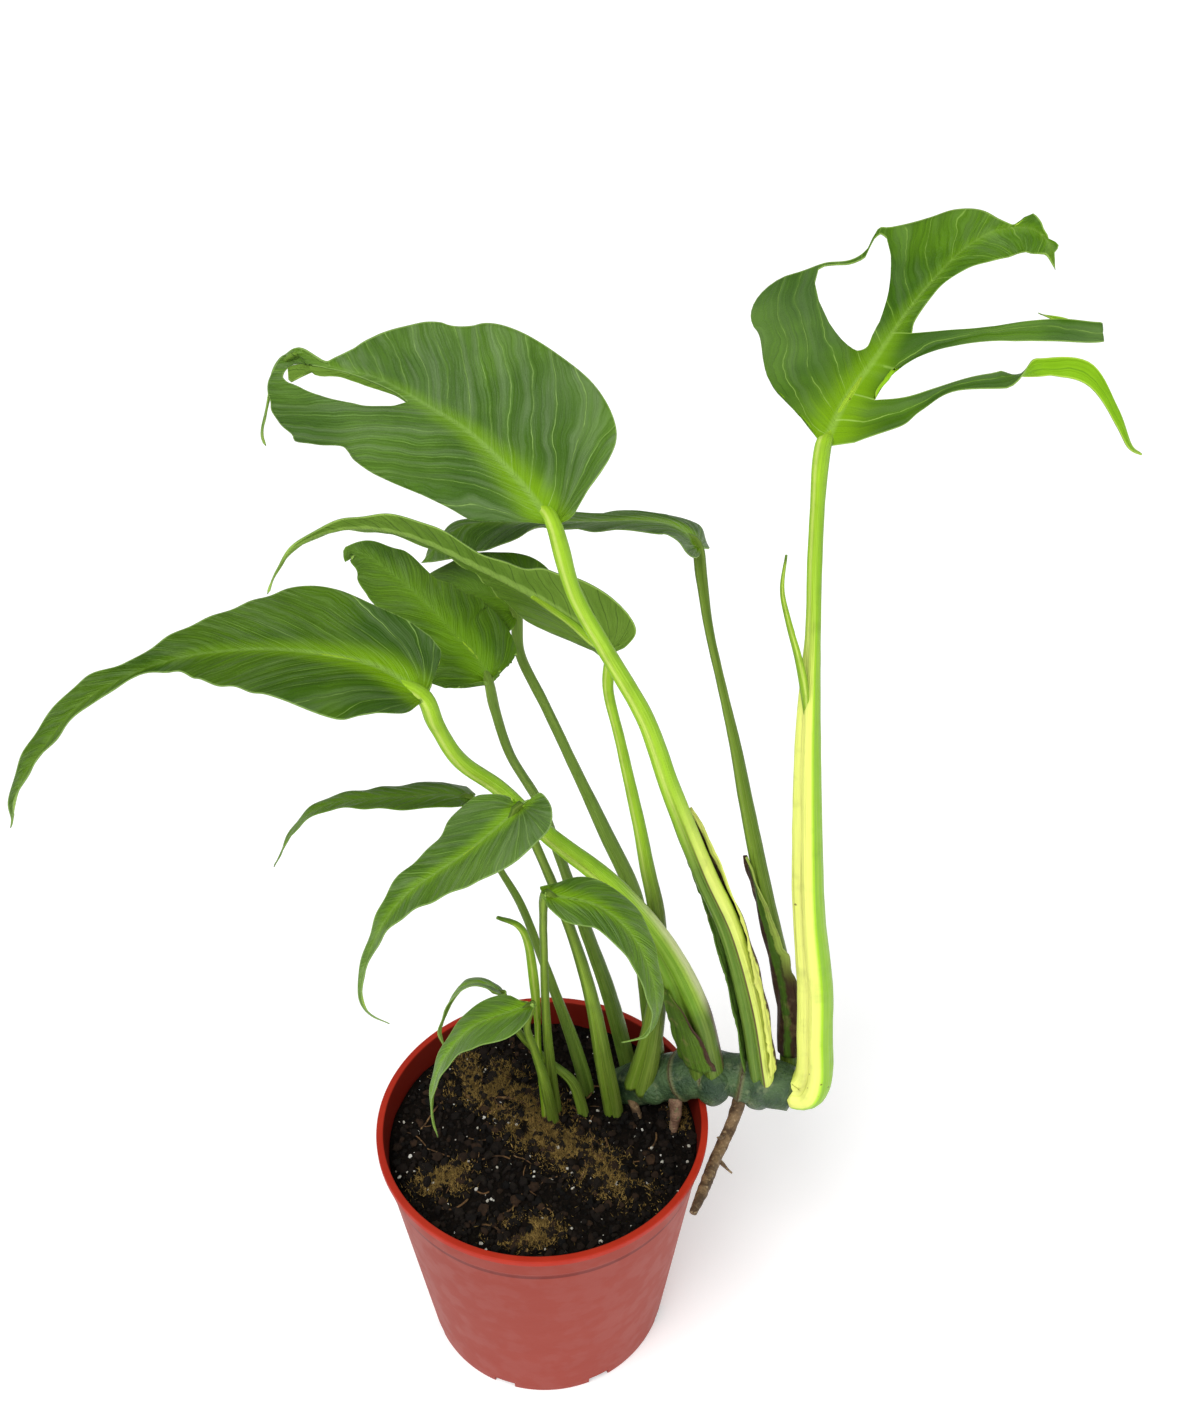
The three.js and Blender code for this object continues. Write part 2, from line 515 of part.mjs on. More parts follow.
function geometryOf(points, triangles) {
  const geometry = new THREE.BufferGeometry();
  geometry.setAttribute("position", new THREE.Float32BufferAttribute(points.flatMap((p) => p.toArray()), 3));
  geometry.setIndex(triangles);
  return geometry;
}

// Closed rod along a path; section lists [angle, share of the radius] round its groove
function rod(path, radii, section, { groove = [0, -1, 0], grow = 0, step = RING_STEP, sections } = {}) {
  const spine = new Spine(path, groove, 0.3);
  const rings = Math.max(2, Math.round(spine.length / step));
  const points = [];
  const triangles = [];
  const sides = section.length;
  for (let i = 0; i <= rings; i++) {
    const share = i / rings;
    const end = i === 0 ? -grow : i === rings ? grow : 0;
    const { point, normal, side, tangent, t } = spine.frameAt(share * spine.length);
    const radius = smoothAt(radii.map((r) => [r]), t)[0];
    const shape = sections ? sections(share) : section;
    for (const [angle, scale] of shape) {
      const a = degToRad(angle);
      const reach = radius * scale + grow;
      points.push(
        point.clone()
          .addScaledVector(tangent, end)
          .addScaledVector(normal, Math.cos(a) * reach)
          .addScaledVector(side, Math.sin(a) * reach),
      );
    }
  }
  for (let i = 0; i < rings; i++) {
    for (let j = 0; j < sides; j++) {
      const a = i * sides + j;
      const b = i * sides + ((j + 1) % sides);
      triangles.push(a, a + sides, b, b, a + sides, b + sides);
    }
  }
  const first = spine.frameAt(0);
  const last = spine.frameAt(spine.length);
  const domed = 0.4 * radii.at(-1) + grow;
  points.push(first.point.addScaledVector(first.tangent, -grow));
  points.push(last.point.addScaledVector(last.tangent, domed));
  const tail = rings * sides;
  for (let j = 0; j < sides; j++) {
    const next = (j + 1) % sides;
    triangles.push(points.length - 2, j, next);
    triangles.push(points.length - 1, tail + next, tail + j);
  }
  return solidOf(geometryOf(points, triangles));
}

// Thin closed sheet. Each grid holds rows of [s, w] places; equal places are one corner. place
// puts an [s, w] in space and depthAt gives the sheet's thickness under it.
function sheet(grids, place, depthAt) {
  const places = [];
  const known = new Map();
  const cornerOf = ([s, w]) => {
    const key = `${Math.round(s * 200)},${Math.round(w * 200)}`;
    if (!known.has(key)) {
      known.set(key, places.length);
      places.push([s, w]);
    }
    return known.get(key);
  };
  const top = [];
  const addTriangle = (a, b, c) => {
    if (a !== b && b !== c && c !== a) top.push([a, b, c]);
  };
  for (const { rows, flipped } of grids) {
    const ids = rows.map((row) => row.map(cornerOf));
    for (let i = 0; i + 1 < ids.length; i++) {
      for (let j = 0; j + 1 < ids[i].length; j++) {
        const [a, b, c, d] = [ids[i][j], ids[i + 1][j], ids[i + 1][j + 1], ids[i][j + 1]];
        if (flipped) {
          addTriangle(a, d, c);
          addTriangle(a, c, b);
        } else {
          addTriangle(a, b, c);
          addTriangle(a, c, d);
        }
      }
    }
  }
  const faces = places.map(([s, w]) => place(s, w));
  const normals = faces.map(() => new THREE.Vector3());
  const edges = new Map();
  for (const [a, b, c] of top) {
    const across = faces[b].clone().sub(faces[a]).cross(faces[c].clone().sub(faces[a]));
    for (const corner of [a, b, c]) normals[corner].add(across);
    for (const [from, to] of [[a, b], [b, c], [c, a]]) edges.set(`${from},${to}`, [from, to]);
  }
  const under = faces.map((p, i) =>
    p.clone().addScaledVector(normals[i].normalize(), -depthAt(...places[i])));
  const count = faces.length;
  const triangles = top.flatMap(([a, b, c]) => [a, b, c, count + a, count + c, count + b]);
  for (const [from, to] of edges.values()) {
    if (edges.has(`${to},${from}`)) continue;
    triangles.push(to, from, count + from, to, count + from, count + to);
  }
  return solidOf(geometryOf([...faces, ...under], triangles));
}

// Places from the midrib station m out to the margin place [s, w], bowed like the side veins
function veinRow(m, [s, w], columns) {
  const middle = [m + VEIN_BOW[0] * (s - m), VEIN_BOW[1] * w];
  return columns.map((r) => {
    const [a, b, c] = [(1 - r) * (1 - r), 2 * r * (1 - r), r * r];
    return [a * m + b * middle[0] + c * s, b * middle[1] + c * w];
  });
}

// One leaf's blade: a surface over [s, w] and the grids that cover it
class Blade {
  constructor(leaf) {
    this.leaf = leaf;
    this.spine = new Spine(leaf.midrib, leaf.up, 0.35);
    this.profiles = [leaf.slopeLeft, leaf.slopeRight].map((slope) => {
      const profile = [[0, 0]];
      for (let t = 0; t < PROFILE_REACH; t++) {
        const angle = degToRad(tableValue(slope, t + 0.5));
        const [x, z] = profile[t];
        profile.push([x + Math.cos(angle), z + Math.sin(angle)]);
      }
      return profile;
    });
    this.sides = [
      { margin: leaf.left, sign: 1, lobes: [] },
      { margin: leaf.right, sign: -1, lobes: leaf.lobes ?? [] },
    ].map((side) => ({ ...side, margin: this.withStations(side.margin) }));
    this.stations = this.listStations();
  }

  // Margin places with the midrib station that each one's veins start from
  withStations(margin) {
    const length = this.spine.length;
    let most = 0;
    return margin.map(([s, w, m], i) => {
      const last = i === margin.length - 1;
      most = last ? length : Math.max(most, m ?? Math.max(0, s - VEIN_LEAN * w));
      return [last ? length : s, w, most];
    });
  }

  listStations() {
    const { hole } = this.leaf;
    const fixed = [0, this.spine.length];
    if (hole) fixed.push(...hole.rows.map(([m]) => m));
    for (const side of this.sides) fixed.push(...side.lobes.flatMap(({ from, to }) => [from, to]));
    const needed = new Set(fixed);
    for (const side of [this.leaf.left, this.leaf.right]) fixed.push(...side.flatMap((p) => p.slice(2)));
    fixed.sort((a, b) => a - b);
    const stations = [0];
    for (let i = 1; i < fixed.length; i++) {
      const steps = Math.ceil((fixed[i] - fixed[i - 1]) / STATION_STEP);
      for (let k = 1; k <= steps; k++) stations.push(lerp(fixed[i - 1], fixed[i], k / steps));
    }
    return stations.filter((m, i) => needed.has(m) || i === 0 || m - stations[i - 1] > CLOSE_STATIONS);
  }

  // A place on the blade. Past stiff.from the outer part of one side keeps its plane, and the
  // midrib bends away from it; stiff.pinch draws the bent part in to a narrow tip.
  place(s, w) {
    const { stiff } = this.leaf;
    if (!stiff || s <= stiff.from || w * stiff.side < 0) return this.placeFree(s, w);
    const size = Math.abs(w);
    const pinch = stiff.pinch ? smoothstep(s, ...stiff.pinch) : 0;
    const near = lerp(stiff.near, PINCHED, pinch);
    const free = this.placeFree(s, Math.sign(w) * (size - Math.max(0, size - near) * pinch));
    const held = this.placeFree(stiff.from, w);
    held.addScaledVector(this.spine.frameAt(stiff.from).tangent, s - stiff.from);
    return free.lerp(held, smoothstep(size, near, stiff.far));
  }

  placeFree(s, w) {
    const { point, normal, side } = this.spine.frameAt(s);
    const profile = this.profiles[w >= 0 ? 0 : 1];
    const t = Math.abs(w);
    const i = Math.floor(t);
    const across = lerp(profile[i][0], profile[i + 1][0], t - i);
    const rise = lerp(profile[i][1], profile[i + 1][1], t - i);
    const turn = this.droopAt(s, w);
    const out = across * Math.cos(turn) - rise * Math.sin(turn);
    const up = rise * Math.cos(turn) + across * Math.sin(turn);
    return point.addScaledVector(side, Math.sign(w) * out).addScaledVector(normal, up);
  }

  // Angle by which one side hangs from the midrib
  droopAt(s, w) {
    const { droop } = this.leaf;
    if (!droop || w * droop.side <= 0) return 0;
    return degToRad(droop.turn) * smoothstep(s, droop.from, droop.to);
  }

  // The margin place that belongs to station m
  marginAt(margin, m) {
    const after = margin.findIndex((p) => p[2] >= m && p[2] > 0);
    const [m0, m1] = [margin[after - 1][2], margin[after][2]];
    const t = after - 1 + (m - m0) / (m1 - m0);
    return smoothAt(margin.map((p) => p.slice(0, 2)), t);
  }

  // Rows that fan out from the joint, where the blade reaches back past it
  fanRows(margin, columns) {
    const places = margin.map((p) => p.slice(0, 2));
    const last = margin.findIndex((p) => p[2] > 0) - 1;
    const rows = [];
    for (let t = 0; t < last; t += 0.5) rows.push(veinRow(0, smoothAt(places, t), columns));
    return rows;
  }

  gridsOf({ margin, sign, lobes }) {
    const hole = this.leaf.hole?.side === sign ? this.leaf.hole : null;
    const start = lobes.length ? lobes.at(-1).to : 0;
    const row = (m, columns) => veinRow(m, this.marginAt(margin, m), columns);
    const between = (from, to) => this.stations.filter((m) => m >= from - 1e-6 && m <= to + 1e-6);
    const grids = lobes.map((lobe) => between(lobe.from, lobe.to).map((m) => this.lobeRow(lobe, m)));
    if (lobes.length) {
      grids.push(between(start, this.spine.length).map((m) => {
        const edge = m === start ? margin[0].slice(0, 2) : this.marginAt(margin, m);
        return [[m, 0], [lerp(m, edge[0], 0.5), edge[1] / 2], edge];
      }));
    } else if (hole) {
      const first = hole.rows[0];
      const last = hole.rows.at(-1);
      const split = (edge) => [0, edge / 2, edge, (1 + edge) / 2, 1];
      const before = split(first[1]);
      const after = split(last[1]);
      const opening = between(first[0], last[0]);
      const edgeAt = (m, k) => tableValue(hole.rows.map((shares) => [shares[0], shares[k]]), m);
      grids.push([...this.fanRows(margin, before), ...between(0, first[0]).map((m) => row(m, before))]);
      grids.push(opening.map((m) => row(m, split(edgeAt(m, 1)).slice(0, 3))));
      grids.push(opening.map((m) => row(m, split(edgeAt(m, 2)).slice(2))));
      grids.push(between(last[0], this.spine.length).map((m) => row(m, after)));
    } else {
      const columns = this.leaf.narrow ? NARROW_COLUMNS : WIDE_COLUMNS;
      grids.push([...this.fanRows(margin, columns), ...this.stations.map((m) => row(m, columns))]);
    }
    return grids.map((rows) => ({
      rows: rows.map((places) => places.map(([s, w]) => [s, w * sign])),
      flipped: sign < 0,
    }));
  }

  // Places across a lobe: a run of points between its lower and its upper edge
  lobeRow({ from, to, lower, upper }, m) {
    const share = (m - from) / (to - from);
    const edgeAt = (edge, t) => (t < 1
      ? edge[0].map((c, k) => lerp(c, edge[1][k], t))
      : smoothAt(edge.slice(1), t - 1));
    const row = [];
    for (let t = 0; t <= lower.length - 1; t += 0.5) {
      const [a, b] = [edgeAt(lower, t), edgeAt(upper, t)];
      row.push(a.map((c, k) => lerp(c, b[k], share)));
    }
    return row;
  }

  solid() {
    const grids = this.sides.flatMap((side) => this.gridsOf(side));
    const length = this.spine.length;
    const ribAt = (s) => RIB_DEPTH * (1 - clamp(s, 0, length) / length);
    const depthAt = (s, w) => BLADE_THICKNESS + (w === 0 ? ribAt(s) : 0);
    return sheet(grids, (s, w) => this.place(s, w), depthAt);
  }
}

// Radius of the pot's outside below its shoulder
const potRadius = (z) => lerp(POT_BASE_RADIUS, POT_SHOULDER_RADIUS, z / POT_SHOULDER_HEIGHT);

// Solid of revolution about +Z from a profile of [radius, height]
function revolve(profile) {
  const points = profile.map(([r, z]) => new THREE.Vector2(r, z));
  return new THREE.LatheGeometry(points, POT_SIDES).rotateX(Math.PI / 2);
}

function makePot() {
  const innerTop = POT_RIM_RADIUS - LIP_WIDTH;
  const innerShoulder = POT_SHOULDER_RADIUS - POT_WALL;
  const body = solidOf(revolve([
    [0, 0],
    [POT_BASE_RADIUS, 0],
    [POT_SHOULDER_RADIUS, POT_SHOULDER_HEIGHT],
    [POT_SHOULDER_RADIUS + POT_STEP, POT_SHOULDER_HEIGHT + POT_STEP],
    [POT_SHOULDER_RADIUS + POT_STEP + 0.9, POT_HEIGHT - LIP_SKIRT],
    [POT_RIM_RADIUS, POT_HEIGHT - LIP_SKIRT],
    [POT_RIM_RADIUS, POT_HEIGHT],
    [innerTop, POT_HEIGHT],
    [innerShoulder, POT_SHOULDER_HEIGHT],
    [potRadius(POT_FLOOR) - POT_WALL, POT_FLOOR],
    [0, POT_FLOOR],
  ]));
  const drains = [];
  for (let i = 0; i < DRAIN_COUNT; i++) {
    const drain = new THREE.BoxGeometry(2 * DRAIN_DEPTH, DRAIN_WIDTH, 2 * DRAIN_HEIGHT);
    drain.translate(POT_BASE_RADIUS, 0, 0);
    drain.rotateZ(((i + 0.5) * 2 * Math.PI) / DRAIN_COUNT);
    drains.push(solidOf(drain));
  }
  return body.subtract(wasm.Manifold.union(drains));
}

// Height of the soil's top, with a low mound and small ripples
function soilHeight(x, y) {
  const away = Math.hypot(x - MOUND_CENTRE[0], y - MOUND_CENTRE[1]) / MOUND_REACH;
  const ripple = SOIL_RIPPLE * Math.sin(x / 7 + 1) * Math.cos(y / 9 - 0.5);
  return SOIL_EDGE_HEIGHT + SOIL_MOUND * Math.exp(-away * away) + ripple;
}

function makeSoil() {
  const low = POT_FLOOR + GAP;
  const inside = (z) => potRadius(z) - POT_WALL - GAP;
  const geometry = revolve([
    [0, low],
    [inside(low) - GAP, low],
    [inside(SOIL_EDGE_HEIGHT), SOIL_EDGE_HEIGHT],
    ...SOIL_RINGS.toReversed().map((r) => [r, POT_HEIGHT]),
  ]);
  const spots = geometry.getAttribute("position");
  for (let i = 0; i < spots.count; i++) {
    if (spots.getZ(i) > SOIL_EDGE_HEIGHT + 1) spots.setZ(i, soilHeight(spots.getX(i), spots.getY(i)));
  }
  return solidOf(geometry);
}

// Section of a petiole at a share of its length: sheathed low down, then lightly grooved
function petioleSection(sheath) {
  return (share) => {
    const k = smoothstep(share, sheath - 0.05, sheath + 0.05);
    return SHEATHED.map((spot, i) => spot.map((value, n) => lerp(value, GROOVED[i][n], k)));
  };
}

function petioleOf({ petiole, radii, groove, sheath }, grow = 0) {
  return rod(petiole, radii, GROOVED, { groove, grow, sections: petioleSection(sheath) });
}

const rolledOf = ({ path, radii }, grow = 0) => rod(path, radii, ROUND, { grow });

// Dried sheath: a thin sheet bent round part of a petiole
function drySheathOf({ leaf, shares, facing, reach }) {
  const { petiole, radii, groove } = LEAVES.find(({ name }) => name === leaf);
  const spine = new Spine(petiole, groove, 0.3);
  const rows = [];
  const steps = Math.ceil(((shares[1] - shares[0]) * spine.length) / RING_STEP);
  for (let i = 0; i <= steps; i++) {
    const share = lerp(shares[0], shares[1], i / steps);
    const half = tableValue(reach, share);
    const row = [];
    for (let k = -4; k <= 4; k++) row.push([share * spine.length, facing + (half * k) / 4]);
    rows.push(row);
  }
  const place = (s, angle) => {
    const { point, normal, side, t } = spine.frameAt(s);
    const radius = smoothAt(radii.map((r) => [r]), t)[0] * 1.08 + JOINT_GAP + SHEATH_THICKNESS + 0.1;
    const a = degToRad(angle);
    return point.addScaledVector(normal, Math.cos(a) * radius).addScaledVector(side, Math.sin(a) * radius);
  };
  return sheet([{ rows, flipped: false }], place, () => SHEATH_THICKNESS);
}

const group = new THREE.Group();
group.name = "potted_monstera";
const add = (name, solid, colour, roughness) => {
  group.add(meshOf(name, mainBody(solid), colour, roughness));
};

const stemOf = (grow) => rod(STEM.path, STEM.radii, STEM_SECTION, { groove: [0, 0, 1], grow, step: 7 });
const stem = stemOf(0);
const wideStem = stemOf(GAP);
const buried = [wideStem];

add("pot", makePot(), COLOURS.pot, 0.45);
add("stem", stem, COLOURS.stem, 0.5);

AERIAL_ROOTS.forEach(({ path, radii }, i) => {
  let root = rod(path, radii, ROUND, { step: 9 });
  if (i === AERIAL_ROOTS.length - 1) {
    const twigs = ROOTLETS.map((twig) => rod(twig, [1.1, 0.9, 0.5], FINE_ROUND, { step: 5 }));
    root = wasm.Manifold.union([root, ...twigs]);
  }
  buried.push(rod(path, radii, ROUND, { step: 9, grow: GAP }));
  add(`aerial_root_${i + 1}`, root.subtract(wideStem), COLOURS.root, 0.8);
});

for (const leaf of LEAVES) {
  const joint = petioleOf(leaf, JOINT_GAP);
  buried.push(rod(leaf.petiole, leaf.radii, HOLE_ROUND, { groove: leaf.groove, grow: GAP }));
  const cuts = ROLLED.filter(({ within }) => within === leaf.name).map((rolled) => rolledOf(rolled, GAP));
  const petiole = petioleOf(leaf).subtract(wasm.Manifold.union([wideStem, ...cuts]));
  add(`${leaf.name}_petiole`, petiole, leaf.petioleColour ?? COLOURS.petiole, 0.5);
  add(`${leaf.name}_blade`, new Blade(leaf).solid().subtract(joint), leaf.colour, 0.45);
}

for (const rolled of ROLLED) {
  buried.push(rolledOf(rolled, GAP));
  add(rolled.name, rolledOf(rolled), COLOURS.youngLeaf, 0.5);
}

for (const dry of DRY_SHEATHS) {
  add(dry.name, drySheathOf(dry).subtract(wideStem), COLOURS.drySheath, 0.8);
}

add("soil", makeSoil().subtract(wasm.Manifold.union(buried)), COLOURS.soil, 1);

export default group;
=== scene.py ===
import math

import bmesh
import bpy
import numpy as np
from mathutils import Matrix, Vector, noise


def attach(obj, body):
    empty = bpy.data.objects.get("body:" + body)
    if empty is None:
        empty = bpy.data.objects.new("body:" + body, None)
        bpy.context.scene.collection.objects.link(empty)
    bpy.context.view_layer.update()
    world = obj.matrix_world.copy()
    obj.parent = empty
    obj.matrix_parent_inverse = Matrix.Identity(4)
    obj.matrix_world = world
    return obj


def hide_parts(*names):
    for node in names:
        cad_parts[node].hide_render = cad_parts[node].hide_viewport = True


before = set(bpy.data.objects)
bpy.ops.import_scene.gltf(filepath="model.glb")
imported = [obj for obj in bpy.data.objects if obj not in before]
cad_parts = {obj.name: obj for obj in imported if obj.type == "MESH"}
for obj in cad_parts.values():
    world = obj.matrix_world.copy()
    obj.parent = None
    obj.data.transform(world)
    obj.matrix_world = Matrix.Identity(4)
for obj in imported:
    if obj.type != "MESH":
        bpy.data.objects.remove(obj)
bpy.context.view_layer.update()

# Lengths below are in millimetres unless a name says otherwise, in the frame of the part:
# the origin is the middle of the pot's base, +Z up, +X towards the side where the stem leans over.
MM = 0.001

# Camera
CAMERA_PLACE = (0.0, -443.0, 651.0)
CAMERA_PITCH = 32.2
CAMERA_YAW = 3.7
CAMERA_FOCAL_PIXELS = 1300
IMAGE_HEIGHT = 1423
SENSOR = 36.0

# Light: strengths, places in metres and the width of the key light in degrees
ROOM_LIGHT = 0.42
KEY_LIGHT = 2.1
KEY_PLACE = (-0.8, -0.9, 1.7)
KEY_WIDTH = 40
FILL_LIGHT = 5
FILL_PLACE = (0.9, -0.9, 0.7)
FILL_TARGET = (0.05, 0, 0.3)
FILL_SIZE = (0.8, 1.2)
FLOOR_HALF_METRES = 60.0
FLOOR_GLOW = 0.3
WHITE = (1.0, 1.0, 1.0, 1.0)

# Pot
POT_HEIGHT = 134
POT_RIM_RADIUS = 82.5
POT_BASE_RADIUS = 63
POT_SHOULDER_RADIUS = 79.2
POT_SHOULDER_HEIGHT = 120
POT_STEP = 0.9
POT_WALL = 1.6
POT_FLOOR = 2.4
LIP_WIDTH = 3.4
LIP_SKIRT = 3
LIP_ROUND = 0.7
BASE_ROUND = 1.2
EDGE_ROUND = 0.5
CORNER_STEPS = 5
POT_SIDES = 160
SHARP_ANGLE = 35
DRAIN_COUNT = 8
DRAIN_WIDTH = 11
DRAIN_DEPTH = 9
DRAIN_HEIGHT = 4.5

# Where the painted shade on the inside wall of the pot starts, as radii and heights in metres
PAINTED_SHADE_RADII = (0.0789, 0.0792)
PAINTED_SHADE_HEIGHTS = (0.1162, 0.1166)

# Soil
SOIL_EDGE_HEIGHT = 119
SOIL_MOUND = 5
MOUND_CENTRE = (-12, 6)
MOUND_REACH = 42
SOIL_RIPPLE = 0.8
SOIL_ROUGHNESS = 1.1
SOIL_REACH = 76.8
SOIL_GAP = 0.3
SOIL_RINGS = 78
SOIL_SIDES = 260

# What lies on the soil
LITTER_REACH = SOIL_REACH - 1.5
FIBRE_REACH = SOIL_REACH - 14
CRUMB_COUNT = 2600
BARK_COUNT = 260
PERLITE_COUNT = 210
FIBRE_COUNT = 46
MOSS_COUNT = 44000
MOSS_CLUMPS = 8
MOSS_BARE = -0.22
MOSS_LEAN = 0.75
MOSS_SAG = 0.25
MOSS_LENGTH = (1.6, 4.2)
MOSS_WIDTH = (0.2, 0.42)

# Leaf blades
BLADE_THICKNESS = 0.8
EDGE_THICKNESS = 0.45
RIB_DEPTH = 1.1
RIB_HALF_WIDTH = 1.6
RIB_SINK = 0.35
VEIN_SINK = 0.2
QUILT_HEIGHT = 0.22
RIDGE_HEIGHT = 0.07
LIP_SINK = 0.5
LIP_ARCH = 1.4

# Side veins: the width of their furrows as a share of their spacing, how they lean and bow, and the
# angle between those that fan out behind the joint
VEIN_WIDTH = 0.09
VEIN_LEAN = 0.7
VEIN_BOW = (0.38, 0.55)
VEIN_CURL = 160
FAN_VEIN_ANGLE = 16
WAVES_PER_VEIN = 0.37

# How finely blades are built: the step between rows, and the columns from the midrib to the margin
ROW_STEP = 1.5
FAN_STEP = 0.1
COLUMNS = 26
COLUMN_SPREAD = 0.9
NARROW_COLUMNS = 9
LIP_COLUMNS = 6
LOBE_STEPS = 8
HOLE_END_SHARES = (0, 0.02, 0.06, 0.12, 0.88, 0.94, 0.98, 1)
SPINE_SAMPLES = 24
PROFILE_REACH = 130
WELDS_PER_MM = 200
SLACK = 1e-6
TINY = 1e-9
# The share of a slanting row's length that is distance to the margin
ROW_EDGE_SHARE = 0.85
# The share of a midrib's length where its up direction is given
UP_AT = 0.35
# The half width that a pinched part keeps
PINCHED = 1
# Half of the step over which a blade's slope is measured
PROBE = 0.5

# Rods: the share of the length where the groove's direction is given, and the rounding of the end
GROOVE_AT = 0.3
ROD_TIP = 0.4
LUMP_REACH = 0.98
LUMP_RINGS = 11

# A petiole ends in a taper under a blade; its reaches are for a midrib of this length.
STALK_TAPER = (0.9, 0.7, 0.45)
TAPER_REACH = (9, 24, 44)
TAPER_MIDRIB = 170.0
TAPER_GAP = 0.3

# Dried sheaths
SHEATH_STEP = 2
SHEATH_COLUMNS = 29
SHEATH_SWELL = 1.08
SHEATH_GAP = 1.2
SHEATH_PEEL = 1.6
SHEATH_RIPPLE = 0.35
SHEATH_THICKNESS = 0.6

# A petiole's section: angle in degrees from its groove, and share of its radius
GROOVED = [[0, 0.8], [30, 1.02], [75, 1], [120, 0.97], [160, 0.95], [200, 0.95], [240, 0.97],
    [285, 1], [330, 1.02]]
SHEATHED = [[0, 0.62], [24, 1.08], [70, 1], [115, 0.97], [160, 0.95], [200, 0.95], [245, 0.97],
    [290, 1], [336, 1.08]]

# The stem creeps out of the soil over the rim, with a swelling at each node.
STEM = {
    "path": [[37, 33, 108], [44, 28, 120], [54, 21, 132], [67, 14, 142], [80, 9, 148.6], [88, 8, 149],
        [95, 7, 148.8], [103, 5, 148.2], [115, 2, 147], [124, -2, 147]],
    "radii": [9, 10.6, 11.4, 12, 12, 11.8, 10.6, 12.2, 12.2, 11],
}

# Rings on the stem: share of its length, width as a share, and height as a share of the radius
STEM_RINGS = [(0.49, 0.008, 0.08), (0.6, 0.004, 0.03), (0.77, 0.009, 0.1)]
# Rounded feet where petioles grow from the stem: middle, half width and half height
STEM_FEET = [((85, 1, 148.5), 9, 11), ((107.5, -0.5, 147), 9, 13), ((57, 12.5, 137), 9, 9)]

AERIAL_ROOTS = [
    { "path": [[67, 5, 137], [67, 1, 129], [66, -1, 121], [65, -2, 112]], "radii": [3.6, 3, 2.2, 1.8] },
    { "path": [[45, 18, 126], [48, 10, 122], [50, 5, 113]], "radii": [2.4, 2.2, 2] },
    { "path": [[100, 2, 139], [93, -9, 128], [84, -24, 124.5], [76, -42, 127], [69, -55, 126]],
        "radii": [3.5, 3, 3, 2.8, 1.8] },
]

ROOTLET_RADII = [1.1, 0.9, 0.5]
ROOTLETS = [
    [[91, -12, 127], [87, -17, 131], [85, -19, 134]],
    [[85, -24, 125], [89, -26, 120], [92, -27, 117]],
]

